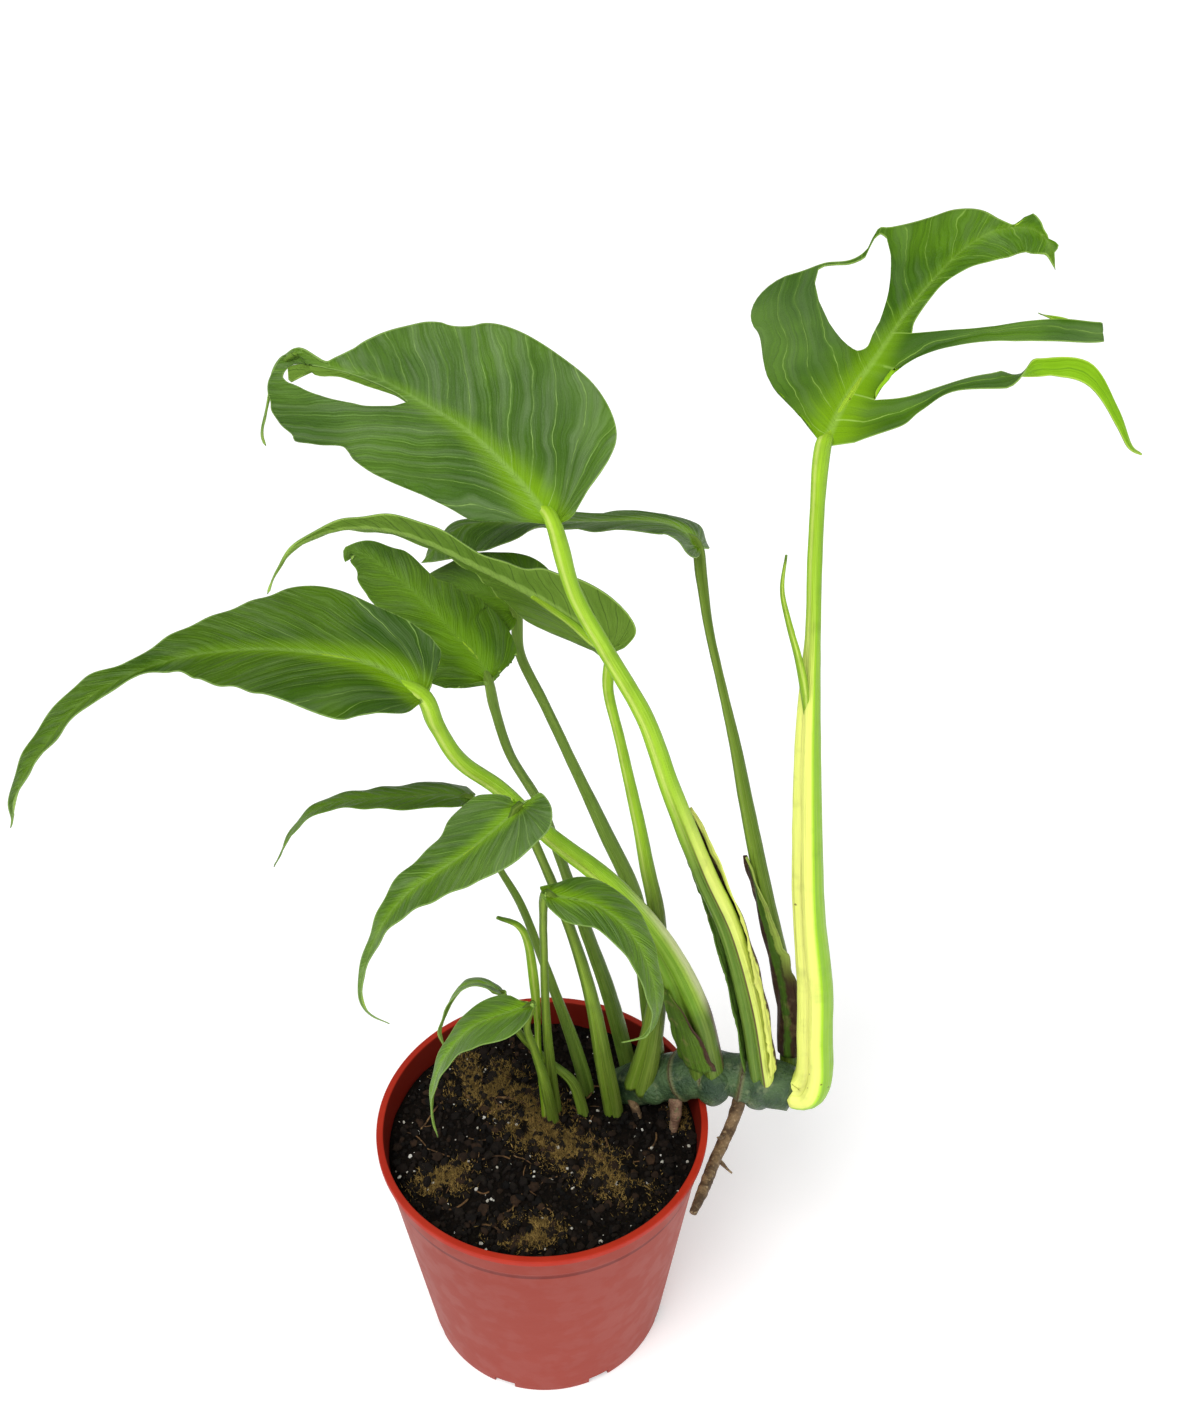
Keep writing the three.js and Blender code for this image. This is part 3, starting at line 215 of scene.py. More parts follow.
# Each blade is laid out along its midrib: s runs along it and w across it, both in mm. A margin
# lists [s, w] and, where the veins need it, the midrib station that this row of veins starts from.
# The slopes on the left and right list [distance from the midrib, degrees]. A hole is on the left, and
# lists [station, inner edge, outer edge] as shares of the way out. Lobes are on the right.
LEAVES = [
    {
        "name": "leaf_01",
        "midrib": [[117, 30, 470], [131, 55, 481], [145, 70, 492], [159, 84, 505], [173, 95, 517],
            [186, 102, 527], [198, 104, 533], [210, 101, 535], [218, 97, 531], [222, 92, 520]],
        "up": [-0.1, -0.6, 0.8],
        "stiff": { "side": -1, "start": 100, "near": 14, "far": 28 },
        "slopes": [[[0, -6], [70, -34]], [[0, -10], [62, -12], [90, -35], [120, -70]]],
        "left": [[0, 0, 0], [21, 20, 4], [32, 36, 10], [50, 56, 18], [63, 67, 24], [73, 68, 29],
            [81, 60, 34], [87.5, 48, 40], [92.3, 38, 48], [97.8, 34.4, 53.5], [103, 36, 55.2],
            [107.5, 37, 57], [109.5, 32.6, 62.3], [118, 23, 80], [124, 18.5, 92], [130, 12.5, 105],
            [134, 5.5, 122], [138.4, 1.2, 136.8], [141, 2.5, 138.5], [144, 7, 140], [147, 5.2, 144],
            [150, 2.2, 149], [151.5, 2, 150.5], [154, 1.2, 153.3], [155.5, 3, 154], [156.6, 4.4, 155],
            [158.2, 3.8, 156.8], [159.4, 1.8, 158.7], [162, 1.3, 161.3], [166, 0, 166]],
        "hole": [[38.5, 0.88, 0.88], [39, 0.76, 0.96], [39.8, 0.59, 0.975],
            [42, 0.39, 0.975], [44, 0.28, 0.975], [46.5, 0.2, 0.97], [51.5, 0.155, 0.955],
            [54, 0.16, 0.935], [57, 0.17, 0.94], [60, 0.19, 0.955], [63, 0.22, 0.91], [66, 0.27, 0.84],
            [68.5, 0.34, 0.75], [70, 0.42, 0.64], [70.5, 0.53, 0.53]],
        "lobes": [
            {
                "start": 0,
                "end": 33,
                "lower": [[0, 0], [10, 10.5], [31, 24], [46, 27.5], [59.5, 33.5], [75.5, 51], [93, 59],
                    [105, 75], [104, 98], [105, 112], [113, 125]],
                "upper": [[33, 0], [37, 10], [45, 17.5], [54, 24.5], [66, 33.5], [82, 45], [98, 52.5],
                    [113, 70], [109.5, 92], [107.3, 111], [113, 125]],
                "turned": [5, 6.2],
            },
            {
                "start": 33,
                "end": 68,
                "lower": [[33, 0], [37, 10], [42, 8], [52, 8.8], [65, 14.5], [81, 25.5], [98, 40.4],
                    [110, 53.5], [123, 68.5], [133.5, 72.6], [144.2, 74], [157, 76]],
                "upper": [[68, 0], [72.5, 6.7], [76, 10.5], [84, 18.5], [92, 26.2], [103, 34.8],
                    [111, 41.5], [120.5, 51], [129.4, 63], [136.8, 68.9], [146.9, 71], [157, 76]],
            },
        ],
        "rolls": [
            { "side": -1, "at": [126, -66], "ahead": [0.75, -0.66], "beside": [-7, 17], "radius": 2.4,
                "turn": 180 },
        ],
        "right": [[72.5, 6.7, 68], [78, 4.8, 76], [90, 4.2, 84], [100, 4.4, 92], [112, 7.4, 103],
            [123, 11, 114], [134, 12, 126], [141, 11, 132], [150, 9.5, 141], [156, 8.3, 148],
            [158.5, 4, 152.5], [160, 2, 156], [166, 0, 166]],
        "petiole": [[123, -3, 147], [131, -5, 150], [134, -5, 163], [132, -4, 189], [130, -2, 217],
            [125, 2, 254], [122, 5, 285], [118, 11, 347], [117, 17, 395], [116, 22, 427], [116, 27, 457],
            [117, 30, 470]],
        "radii": [9, 10, 9, 8.6, 8.4, 7.4, 7, 5.5, 3.3, 3.1, 2.9, 3.2],
        "groove": [-0.8, -0.6, 0],
        "sheath": 0.72,
    },
    {
        "name": "leaf_02",
        "midrib": [[12, 10, 449], [-2, 29, 461], [-19, 49, 471.5], [-35, 63, 477.5], [-49, 74, 482.5],
            [-59, 80, 485.4], [-68, 83.5, 486.5], [-78, 86.5, 488.6], [-87.6, 89.8, 492.8],
            [-92.6, 92.5, 491], [-97.6, 99, 485.6], [-101.9, 105, 478.3], [-105.4, 108, 471.3],
            [-107.8, 109, 465.3], [-111.3, 108, 453.2], [-110.7, 107, 446.8]],
        "up": [-0.41, -0.71, 0.57],
        "stiff": { "side": 1, "start": 100, "near": 5, "far": 16, "pinch": [128, 142] },
        "slopes": [[[0, 10], [45, -4]]] * 2,
        "left": [[0, 0], [9, 8], [18, 17], [27, 23.9], [38, 27], [53, 30.6], [70, 33], [83, 34.4],
            [95.4, 34], [100, 32.3], [103, 31.2], [107, 32.2], [112.4, 34.6], [118, 36.3], [124, 38.1],
            [127, 36.4], [133.3, 35.2], [137, 33.3], [140.4, 31.2], [143, 28.4], [145.4, 26.1],
            [147, 22.6], [148.6, 17.4, 136.4], [148.5, 13, 139.4], [148.3, 8, 142.7], [149, 4.5, 145.9],
            [151, 3.2], [158, 3], [176, 2.2], [199, 0]],
        "right": [[0, 0], [-3, 8], [0, 21], [3, 33], [10, 41], [26, 46], [45, 45], [65, 42], [84, 32.6],
            [90, 30.9], [97, 27.2], [103, 22.5], [107, 18.6], [111, 14], [118.7, 8.3], [124.4, 4],
            [128, 0.9], [132, 0.8], [138, 1.3], [144, 1.7], [150, 2], [158, 3], [176, 2.2], [199, 0]],
        "hole": [[85.8, 0.08, 0.08], [88, 0.065, 0.19], [93.4, 0.05, 0.27],
            [100.7, 0.055, 0.34], [107.1, 0.055, 0.41], [113.8, 0.035, 0.48], [118.5, 0.025, 0.535],
            [122.9, 0.03, 0.59], [125.6, 0.045, 0.63], [127.7, 0.06, 0.68], [130.9, 0.12, 0.735],
            [131.6, 0.25, 0.75], [132.3, 0.43, 0.755], [133.4, 0.52, 0.745], [134.3, 0.6, 0.725],
            [134.8, 0.67, 0.67]],
        "lip": [[85.8, 0], [93.4, 0.7], [97, 1.1], [103, 1.8], [109, 2.2], [116.5, 2.2], [120.7, 2],
            [124.5, 2.6], [128.2, 3.8], [131.2, 5.6], [132.2, 7], [133.4, 6.2], [134.3, 4], [134.8, 0]],
        "petiole": [[110, 0, 150], [107, -3, 167], [99, -5, 211], [87, -6, 257], [73, -7, 293],
            [58, -5, 335], [47, -1, 368], [31, 4, 398], [19, 7, 422], [12, 10, 449]],
        "radii": [6, 6, 6, 5.5, 5, 4.4, 3.8, 3.4, 3.2, 3],
        "groove": [-0.5, -0.9, 0.2],
        "sheath": 0.6,
    },
    {
        "name": "leaf_03",
        "midrib": [[36, 46, 373], [24, 47, 385], [9, 46, 398], [-6, 44, 409], [-21, 42, 419],
            [-36, 42, 428], [-50, 42, 434], [-65, 41, 437], [-80, 38, 436], [-91, 34, 431],
            [-98, 29, 424], [-101, 23, 417]],
        "up": [-0.1, 0.85, 0.53],
        "slopes": [[[0, 5], [30, -1]], [[0, 26], [30, 22]]],
        "left": [[0, 0], [-2, 6], [0, 16], [6, 20], [21, 23], [35, 20], [47, 16], [60, 9], [80, 7],
            [95, 9], [110, 8], [125, 5], [145, 2], [172, 0]],
        "right": [[0, 0], [-3, 6], [3, 13], [13, 22], [27, 30], [40, 28], [54, 20], [68, 11], [85, 7],
            [110, 7], [130, 4], [150, 2], [172, 0]],
        "petiole": [[50, 14, 137], [55, 14, 169], [58, 16, 204], [57, 19, 243], [52, 23, 271],
            [48, 27, 294], [40, 36, 333], [35, 42, 356], [36, 46, 373]],
        "radii": [8, 6, 4.5, 4, 3.5, 3, 2.4, 2.4, 2.4],
        "groove": [-0.6, -0.8, 0],
        "sheath": 0.5,
    },
    {
        "name": "leaf_04",
        "midrib": [[80, 100, 397], [76, 103, 402], [68, 107, 405], [54, 110, 406], [36, 112, 405],
            [17, 113, 405], [-1, 113, 405], [-17, 112, 406], [-28, 110, 405], [-38, 106, 399],
            [-47, 102, 391]],
        "up": [0, 0.25, 0.97],
        "slopes": [[[0, 5], [30, -7]]] * 2,
        "droop": { "side": 1, "start": 78, "end": 108, "turn": -55 },
        "left": [[0, 0], [-4, 8], [-3, 18], [8, 25], [30, 27], [55, 24], [80, 18], [100, 15], [118, 13],
            [130, 8], [139, 0]],
        "right": [[0, 0], [-4, 8], [-3, 16], [8, 22], [30, 26], [55, 24], [80, 18], [100, 14], [118, 11],
            [130, 6], [139, 0]],
        "petiole": [[126, 10, 142], [123, 18, 188], [111, 32, 241], [102, 48, 283], [96, 58, 313],
            [91, 72, 335], [85, 84, 361], [82, 94, 382], [80, 100, 397]],
        "radii": [5, 4.5, 4, 3.6, 2.8, 2.2, 2.2, 2.6, 2.6],
        "groove": [-0.8, -0.6, 0],
        "sheath": 0.5,
    },
    {
        "name": "leaf_05",
        "midrib": [[-4, 80, 375], [-11, 85, 380], [-23, 91, 382], [-34, 95, 379], [-46, 96, 373],
            [-56, 94, 363], [-61, 91, 352]],
        "up": [0.1, -0.5, 0.86],
        "slopes": [[[0, 10], [25, 2]]] * 2,
        "left": [[0, 0], [-4, 6], [-2, 14], [8, 19], [25, 19], [42, 14], [60, 7], [76, 0]],
        "right": [[0, 0], [-4, 8], [-3, 18], [4, 25], [14, 24], [24, 20], [40, 16], [58, 8], [76, 0]],
        "petiole": [[59, 30, 144], [53, 36, 202], [48, 42, 239], [34, 50, 273], [21, 58, 303],
            [8, 68, 332], [-3, 76, 356], [-4, 80, 375]],
        "radii": [5, 4.5, 4, 3.5, 2.6, 2.4, 2.4, 2.4],
        "groove": [-0.4, -0.9, 0],
        "sheath": 0.5,
    },
    {
        "name": "leaf_06",
        "midrib": [[-17, 50, 357], [-20, 53, 364], [-25, 56, 371], [-31, 58, 377], [-36, 62, 382],
            [-42, 66, 387], [-48, 70, 392], [-54, 74, 396], [-61, 77, 401], [-67, 80, 405],
            [-72, 81, 407], [-76, 81, 408], [-77, 78, 407], [-77, 74, 406]],
        "up": [0, -0.77, 0.64],
        "slopes": [[[0, 10], [25, 2]], [[0, -15], [25, -35]]],
        "left": [[0, 0], [1.9, 2.8], [2.6, 6], [3.2, 12.9], [7.2, 19.2], [17, 22.9], [27, 19.2],
            [44, 16.6], [62.3, 15.7], [68.7, 14], [75.5, 11.2], [81, 7.8], [85, 5.2], [88.5, 3.2],
            [92, 1.6], [94, 0]],
        "right": [[0, 0], [0.3, 3.7], [2.6, 7], [4.4, 14.2], [6.3, 19], [8.9, 20.6], [14.7, 22.7],
            [20.5, 23], [33, 21.2], [37.7, 18], [45.8, 14.9], [50, 12.6], [57, 12.5], [64.3, 12.9],
            [69.9, 12], [77, 8.8], [80.7, 6.6], [84.2, 4.6], [86.4, 2.6], [89, 1.4], [92, 0.9], [94, 0]],
        "petiole": [[48, 41, 106], [46, 42, 124], [36, 45, 172], [24, 47, 216], [13, 49, 257],
            [4, 50, 289], [-9, 50, 318], [-15, 50, 343], [-17, 50, 357]],
        "radii": [4.5, 4.5, 4, 3.2, 2.6, 2.4, 2.2, 2.2, 2.2],
        "groove": [-0.5, -0.85, 0],
        "sheath": 0.5,
    },
    {
        "name": "leaf_07",
        "midrib": [[-41, -3, 383], [-58, 4, 393], [-80, 9, 397], [-103, 11, 399], [-126, 9, 399],
            [-141, 5, 398], [-157, 0, 394], [-173, -5, 386], [-188, -9, 371], [-201, -12, 354],
            [-209, -13, 334]],
        "up": [0.1, -0.49, 0.87],
        "slopes": [[[0, 25], [30, 13]], [[0, 10], [30, 1]]],
        "left": [[0, 0], [0, 7], [2, 14], [10, 23], [20, 32], [33, 33], [55, 29], [74, 24], [90, 18],
            [102, 9], [112, 4], [129, 4], [141, 5], [159, 4], [180, 2], [207, 0]],
        "right": [[0, 0], [1, 7], [3, 13], [7, 20], [19, 23], [30, 25], [45, 29], [58, 28], [75, 20],
            [99, 11], [110, 7], [121, 5], [133, 8], [144, 7], [162, 7], [179, 5], [194, 3], [207, 0]],
        "petiole": [[83, 6, 153], [73, 4, 198], [57, 6, 239], [34, 9, 274], [7, 10, 302], [-13, 8, 329],
            [-29, 3, 348], [-37, -1, 368], [-41, -3, 383]],
        "radii": [9, 9, 7, 5, 4, 3.6, 3.4, 3.2, 3.2],
        "groove": [-0.5, -0.7, 0.5],
        "sheath": 0.62,
    },
    {
        "name": "leaf_08",
        "midrib": [[-28, 46, 298], [-40, 46, 301], [-56, 44, 302], [-73, 42, 303], [-89, 40, 303],
            [-101, 37, 299], [-110, 34, 290], [-119, 31, 274]],
        "up": [0, 0.2, 0.98],
        "slopes": [[[0, 5], [15, -10]]] * 2,
        "left": [[0, 0], [-2, 5], [3, 11], [15, 14], [30, 14], [48, 11], [62, 8], [80, 5], [107, 0]],
        "right": [[0, 0], [-2, 5], [2, 12], [12, 16], [28, 14], [47, 10], [62, 7], [80, 4], [107, 0]],
        "petiole": [[22, 25, 106], [23, 26, 124], [17, 29, 153], [9, 31, 184], [1, 33, 214],
            [-7, 36, 241], [-17, 39, 263], [-24, 43, 284], [-28, 46, 298]],
        "radii": [4, 4, 3.4, 2.6, 2.2, 2, 1.7, 1.7, 1.7],
        "groove": [0.5, -0.85, 0],
        "sheath": 0.4,
    },
    {
        "name": "leaf_09",
        "midrib": [[-5, -10, 333], [-16, -16, 326], [-28, -23, 320], [-40, -30, 316], [-51, -37, 312],
            [-60, -43, 304], [-67, -48, 292], [-72, -51, 277], [-70, -54, 264], [-61, -59, 262]],
        "up": [-0.43, -0.25, 0.87],
        "slopes": [[[0, 10], [25, 0]]] * 2,
        "left": [[0, 0], [-9, 2], [-10, 8], [-8, 16], [-2, 22], [8, 24], [18, 23], [29, 21], [42, 17],
            [51, 15], [60, 11], [75, 5], [95, 2], [127, 0]],
        "right": [[0, 0], [1, 8], [6, 16], [12, 21], [23, 20], [35, 14], [47, 11], [59, 9], [69, 6],
            [85, 3], [105, 2], [127, 0]],
        "petiole": [[38, 13, 106], [36, 12, 125], [31, 8, 163], [25, 3, 209], [17, -1, 250],
            [8, -5, 286], [1, -8, 311], [-5, -10, 333]],
        "radii": [5, 5, 4.5, 3.4, 2.6, 2.2, 2, 2],
        "groove": [-0.3, -0.95, 0],
        "sheath": 0.45,
    },
    {
        "name": "leaf_10",
        "midrib": [[4, -28, 301], [12, -27, 298], [24, -26, 293], [34, -28, 286], [42, -31, 276],
            [47, -35, 265], [50, -38, 252], [50, -41, 241], [45, -43, 231], [35, -46, 231]],
        "up": [0.6, -0.22, 0.77],
        "slopes": [[[0, 10], [15, -2]]] * 2,
        "left": [[0, 0], [-2, 3], [5, 6], [10, 9], [18, 12], [27, 13], [39, 13], [50, 11], [63, 8],
            [75, 7], [90, 5], [112, 0]],
        "right": [[0, 0], [0, 6], [3, 10], [8, 13], [17, 14], [27, 13], [40, 14], [51, 13], [63, 12],
            [74, 10], [93, 4], [112, 0]],
        "petiole": [[9, 15, 106], [7, 13, 122], [4, 4, 176], [3, -6, 219], [3, -15, 258], [3, -21, 278],
            [4, -28, 301]],
        "radii": [2.6, 3, 2.4, 2, 1.8, 1.8, 1.8],
        "groove": [-0.3, -0.95, 0],
        "sheath": 0.3,
    },
    {
        "name": "leaf_11",
        "midrib": [[-3, -13, 224], [-11, -13, 221], [-20, -13, 217], [-30, -14, 213], [-38, -16, 206],
            [-45, -19, 197], [-50, -22, 184], [-52, -25, 170], [-50, -27, 154]],
        "up": [-0.57, 0, 0.82],
        "slopes": [[[0, 10], [15, -2]]] * 2,
        "left": [[0, 0], [0, 5], [2, 11], [8, 16], [17, 17], [30, 15], [42, 10], [51, 9], [62, 6],
            [78, 3], [97, 0]],
        "right": [[0, 0], [4, 2], [7, 5], [11, 9], [17, 12], [25, 12], [36, 9], [46, 7], [60, 5],
            [78, 2], [97, 0]],
        "petiole": [[7, 7, 106], [5, 5, 127], [1, 0, 161], [-3, -6, 188], [-6, -10, 207], [-3, -13, 224]],
        "radii": [2.6, 3, 2.6, 2, 1.8, 1.6],
        "groove": [-0.3, -0.95, 0],
        "sheath": 0.4,
    },
    {
        "name": "leaf_12",
        "midrib": [[-17, 12, 207], [-23, 14, 211], [-30, 15, 212], [-36, 14, 211], [-41, 12, 206],
            [-45, 10, 198], [-48, 8, 189], [-47, 6, 179]],
        "up": [-0.2, 0.5, 0.84],
        "slopes": [[[0, 5], [15, -7]]] * 2,
        "left": [[0, 0], [0, 4], [4, 8], [12, 9], [22, 8], [32, 6], [42, 4], [58, 0]],
        "right": [[0, 0], [-1, 4], [3, 8], [11, 10], [22, 9], [32, 7], [42, 4], [58, 0]],
        "petiole": [[22, 11, 108], [20, 12, 126], [15, 14, 143], [3, 16, 156], [-9, 14, 176],
            [-15, 13, 195], [-17, 12, 207]],
        "radii": [3, 3, 2.6, 2, 1.8, 1.6, 1.5],
        "groove": [-0.3, -0.95, 0],
        "sheath": 0.4,
    },
]

# New leaves that are still rolled up
ROLLED = {
    "leaf_13_rolled": {
        "path": [[0, 11, 106], [1, 8, 128], [-1, 7, 170], [-1, 4, 195], [-2, 0, 224], [-4, -2, 250],
            [-8, -5, 264], [-17, -7, 271]],
        "radii": [1.6, 1.6, 1.6, 1.6, 2.2, 1.8, 1.4, 0.8],
    },
    "leaf_14_spear": {
        "path": [[116, 11, 360], [113.5, 9, 374], [110, 10, 388], [105, 12, 404], [102, 14, 417],
            [103, 16, 431]],
        "radii": [1.2, 1.9, 1.6, 1.2, 0.9, 0.5],
    },
}

# Dried sheaths: each wraps part of a petiole. shares says where it runs along the petiole, reach lists
# [share, half of its wrap in degrees], and facing is the middle of the wrap. Both angles start from the
# petiole's groove.
DRY_SHEATHS = {
    "leaf_02": { "shares": [0.05, 0.56], "facing": 180,
        "reach": [[0.05, 130], [0.3, 120], [0.5, 60], [0.56, 12]] },
    "leaf_04": { "shares": [0.06, 0.46], "facing": 20,
        "reach": [[0.06, 120], [0.25, 110], [0.4, 50], [0.46, 14]] },
    "leaf_07": { "shares": [0.05, 0.26], "facing": 20,
        "reach": [[0.05, 60], [0.15, 40], [0.26, 10]] },
}

# Moss patches: middle and half lengths in mm, turn in degrees, share of the moss
MOSS_PATCHES = [
    ((-24, 30), (34, 16), -40, 0.3),
    ((15, -14), (38, 13), -38, 0.3),
    ((70, 9), (6, 10), 0, 0.05),
    ((-49, -24), (13, 9), 20, 0.12),
    ((-9, -56), (16, 8), 0, 0.12),
    ((-4, 6), (16, 14), 0, 0.11),
]


# Curves

def smooth_at(points, t):
    """Smooth curve through points of any dimension, at each t, which counts the points."""
    p = np.asarray(points, float)
    p = np.vstack([2 * p[0] - p[1], p, 2 * p[-1] - p[-2]])
    t = np.atleast_1d(np.asarray(t, float))
    i = np.clip(t.astype(int), 0, len(points) - 2)
    u = (t - i)[:, None]
    a, b, c, d = p[i], p[i + 1], p[i + 2], p[i + 3]
    square = 2 * a - 5 * b + 4 * c - d
    cube = 3 * b - a - 3 * c + d
    return 0.5 * (2 * b + (c - a) * u + square * u**2 + cube * u**3)


def table_value(rows, x):
    table = np.asarray(rows, float)
    return np.interp(x, table[:, 0], table[:, 1])


def smooth_step(x, low, high):
    k = np.clip((np.asarray(x, float) - low) / (high - low), 0, 1)
    return k * k * (3 - 2 * k)


def hump(x, width):
    """1 where x is 0, and falling to 0 within a few widths."""
    return np.exp(-((x / width) ** 2))


def even(value):
    """The same value for every place of a sheet."""
    return lambda flat, marks: np.full(len(flat), float(value))


def stack_marks(*values):
    return np.stack(np.broadcast_arrays(*values), axis=-1)


class Spine:
    """A smooth path with arc length s and a frame carried along it, set by up at the share up_at."""

    def __init__(self, path, up, up_at):
        self.t = np.linspace(0, len(path) - 1, (len(path) - 1) * SPINE_SAMPLES + 1)
        self.points = smooth_at(path, self.t)
        steps = np.linalg.norm(np.diff(self.points, axis=0), axis=1)
        self.reach = np.concatenate([[0], np.cumsum(steps)])
        self.length = self.reach[-1]
        last = len(self.points) - 1
        ahead = self.points[np.minimum(np.arange(last + 1) + 1, last)]
        behind = self.points[np.maximum(np.arange(last + 1) - 1, 0)]
        self.tangents = (ahead - behind) / np.linalg.norm(ahead - behind, axis=1)[:, None]
        start = int(np.argmax(self.reach >= self.length * up_at))
        self.normals = np.zeros_like(self.points)
        self.normals[start] = self.square(np.array(up, float), start)
        for i in range(start - 1, -1, -1):
            self.normals[i] = self.square(self.normals[i + 1], i)
        for i in range(start + 1, last + 1):
            self.normals[i] = self.square(self.normals[i - 1], i)

    def square(self, normal, i):
        """The normal turned square to the path."""
        normal = normal - self.tangents[i] * (normal @ self.tangents[i])
        return normal / np.linalg.norm(normal)

    def mix(self, values, s):
        return np.stack([np.interp(s, self.reach, values[:, k]) for k in range(3)], axis=-1)

    def frame_at(self, s):
        """Point, tangent, normal and side at each arc length s."""
        s = np.atleast_1d(np.asarray(s, float))
        inside = np.clip(s, 0, self.length)
        tangent = self.mix(self.tangents, inside)
        tangent /= np.linalg.norm(tangent, axis=1)[:, None]
        normal = self.mix(self.normals, inside)
        normal /= np.linalg.norm(normal, axis=1)[:, None]
        point = self.mix(self.points, inside) + tangent * (s - inside)[:, None]
        return point, tangent, normal, np.cross(normal, tangent)

    def radius_at(self, radii, s):
        """Radius at each arc length from the radii listed at the path's points."""
        return smooth_at([[r] for r in radii], np.interp(s, self.reach, self.t))[:, 0]


# Meshes

def add_object(name, data):
    obj = bpy.data.objects.new(name, data)
    bpy.context.collection.objects.link(obj)
    return obj


def make_object(name, points, triangles, materials, uvs=None, kinds=None):
    """A smooth mesh object from points in mm, with UV maps per corner and a material per triangle."""
    mesh = bpy.data.meshes.new(name)
    triangles = np.asarray(triangles, np.int32)
    mesh.vertices.add(len(points))
    mesh.vertices.foreach_set("co", (np.asarray(points, np.float32) * MM).ravel())
    mesh.loops.add(triangles.size)
    mesh.loops.foreach_set("vertex_index", triangles.ravel())
    mesh.polygons.add(len(triangles))
    mesh.polygons.foreach_set("loop_start", np.arange(0, triangles.size, 3, dtype=np.int32))
    mesh.polygons.foreach_set("use_smooth", np.ones(len(triangles), bool))
    for material in materials:
        mesh.materials.append(material)
    if kinds is not None:
        mesh.polygons.foreach_set("material_index", np.asarray(kinds, np.int32))
    for map_name, corners in (uvs or {}).items():
        layer = mesh.uv_layers.new(name=map_name)
        layer.data.foreach_set("uv", np.asarray(corners, np.float32).ravel())
    mesh.update()
    mesh.validate()
    return add_object(name, mesh)


def stand_for(obj, node):
    """obj is shown in place of the CAD node, or beside it without one, on the one body."""
    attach(obj, "root")
    if node:
        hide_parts(node)


def smooth_noise(points, scale, seed=0.0):
    """Noise between about -1 and 1 at points in mm; scale is the size of its bumps in mm."""
    offset = Vector((seed * 17.3, seed * 5.1, seed * 9.7))
    return np.array([noise.noise(Vector(p) / scale + offset) for p in points])


def joined(pieces):
    """Points, triangles and then any values per corner or triangle of several pieces, as one."""
    counts = [len(piece[0]) for piece in pieces]
    offsets = np.concatenate([[0], np.cumsum(counts)[:-1]])
    triangles = np.concatenate([piece[1] + offset for piece, offset in zip(pieces, offsets)])
    rest = [np.concatenate(values) for values in list(zip(*pieces))[2:]]
    return [np.concatenate([piece[0] for piece in pieces]), triangles, *rest]


def unit(vectors):
    return vectors / np.maximum(np.linalg.norm(vectors, axis=1), TINY)[:, None]


def corner_normals(points, triangles):
    a, b, c = (points[triangles[:, k]] for k in range(3))
    across = np.cross(b - a, c - a)
    normals = np.zeros_like(points)
    for k in range(3):
        np.add.at(normals, triangles[:, k], across)
    return unit(normals)


class Sheet:
    """Thin closed sheet from grids of places [s, w]; places that are equal become one corner."""

    def __init__(self):
        self.places = []
        self.marks = []
        self.triangles = []
        self.count = 0

    def add(self, places, marks, flipped):
        """places is rows x columns x 2, and marks rows x columns x any number of shading values."""
        rows, columns = places.shape[:2]
        index = self.count + np.arange(rows * columns).reshape(rows, columns)
        a, b, c, d = index[:-1, :-1], index[1:, :-1], index[1:, 1:], index[:-1, 1:]
        halves = [(a, d, c), (a, c, b)] if flipped else [(a, b, c), (a, c, d)]
        for half in halves:
            self.triangles.append(np.stack([corner.ravel() for corner in half], axis=1))
        self.places.append(places.reshape(-1, 2))
        self.marks.append(marks.reshape(rows * columns, -1))
        self.count += rows * columns

    def build(self, place, lift, depth):
        """Points, triangles, marks per corner and kind per triangle: 0 on top, 1 underneath."""
        places = np.concatenate(self.places)
        marks = np.concatenate(self.marks)
        corners = np.concatenate(self.triangles)
        keys = np.round(places * WELDS_PER_MM).astype(np.int64)
        _, first, welded = np.unique(keys, axis=0, return_index=True, return_inverse=True)
        top = welded.ravel()[corners]
        whole = (top[:, 0] != top[:, 1]) & (top[:, 1] != top[:, 2]) & (top[:, 2] != top[:, 0])
        top, corners = top[whole], corners[whole]
        flat, flat_marks = places[first], marks[first]
        points = place(flat, flat_marks)
        points = points + corner_normals(points, top) * lift(flat, flat_marks)[:, None]
        under = points - corner_normals(points, top) * depth(flat, flat_marks)[:, None]
        count = len(points)
        pairs = ([0, 1], [1, 2], [2, 0])
        edges = np.concatenate([top[:, pair] for pair in pairs])
        edge_corners = np.concatenate([corners[:, pair] for pair in pairs])
        forward = edges[:, 0] * count + edges[:, 1]
        backward = edges[:, 1] * count + edges[:, 0]
        open_edge = ~np.isin(forward, backward)
        p, q = edges[open_edge].T
        mark_p, mark_q = edge_corners[open_edge].T
        walls = np.concatenate([
            np.stack([q, p, count + p], axis=1),
            np.stack([q, count + p, count + q], axis=1),
        ])
        wall_marks = np.concatenate([
            np.stack([mark_q, mark_p, mark_p], axis=1),
            np.stack([mark_q, mark_p, mark_q], axis=1),
        ])
        triangles = np.concatenate([top, count + top[:, ::-1], walls])
        corner_marks = marks[np.concatenate([corners, corners[:, ::-1], wall_marks]).ravel()]
        kinds = np.repeat([0, 1, 0], [len(top), len(top), len(walls)])
        return np.concatenate([points, under]), triangles, corner_marks, kinds


# Blades

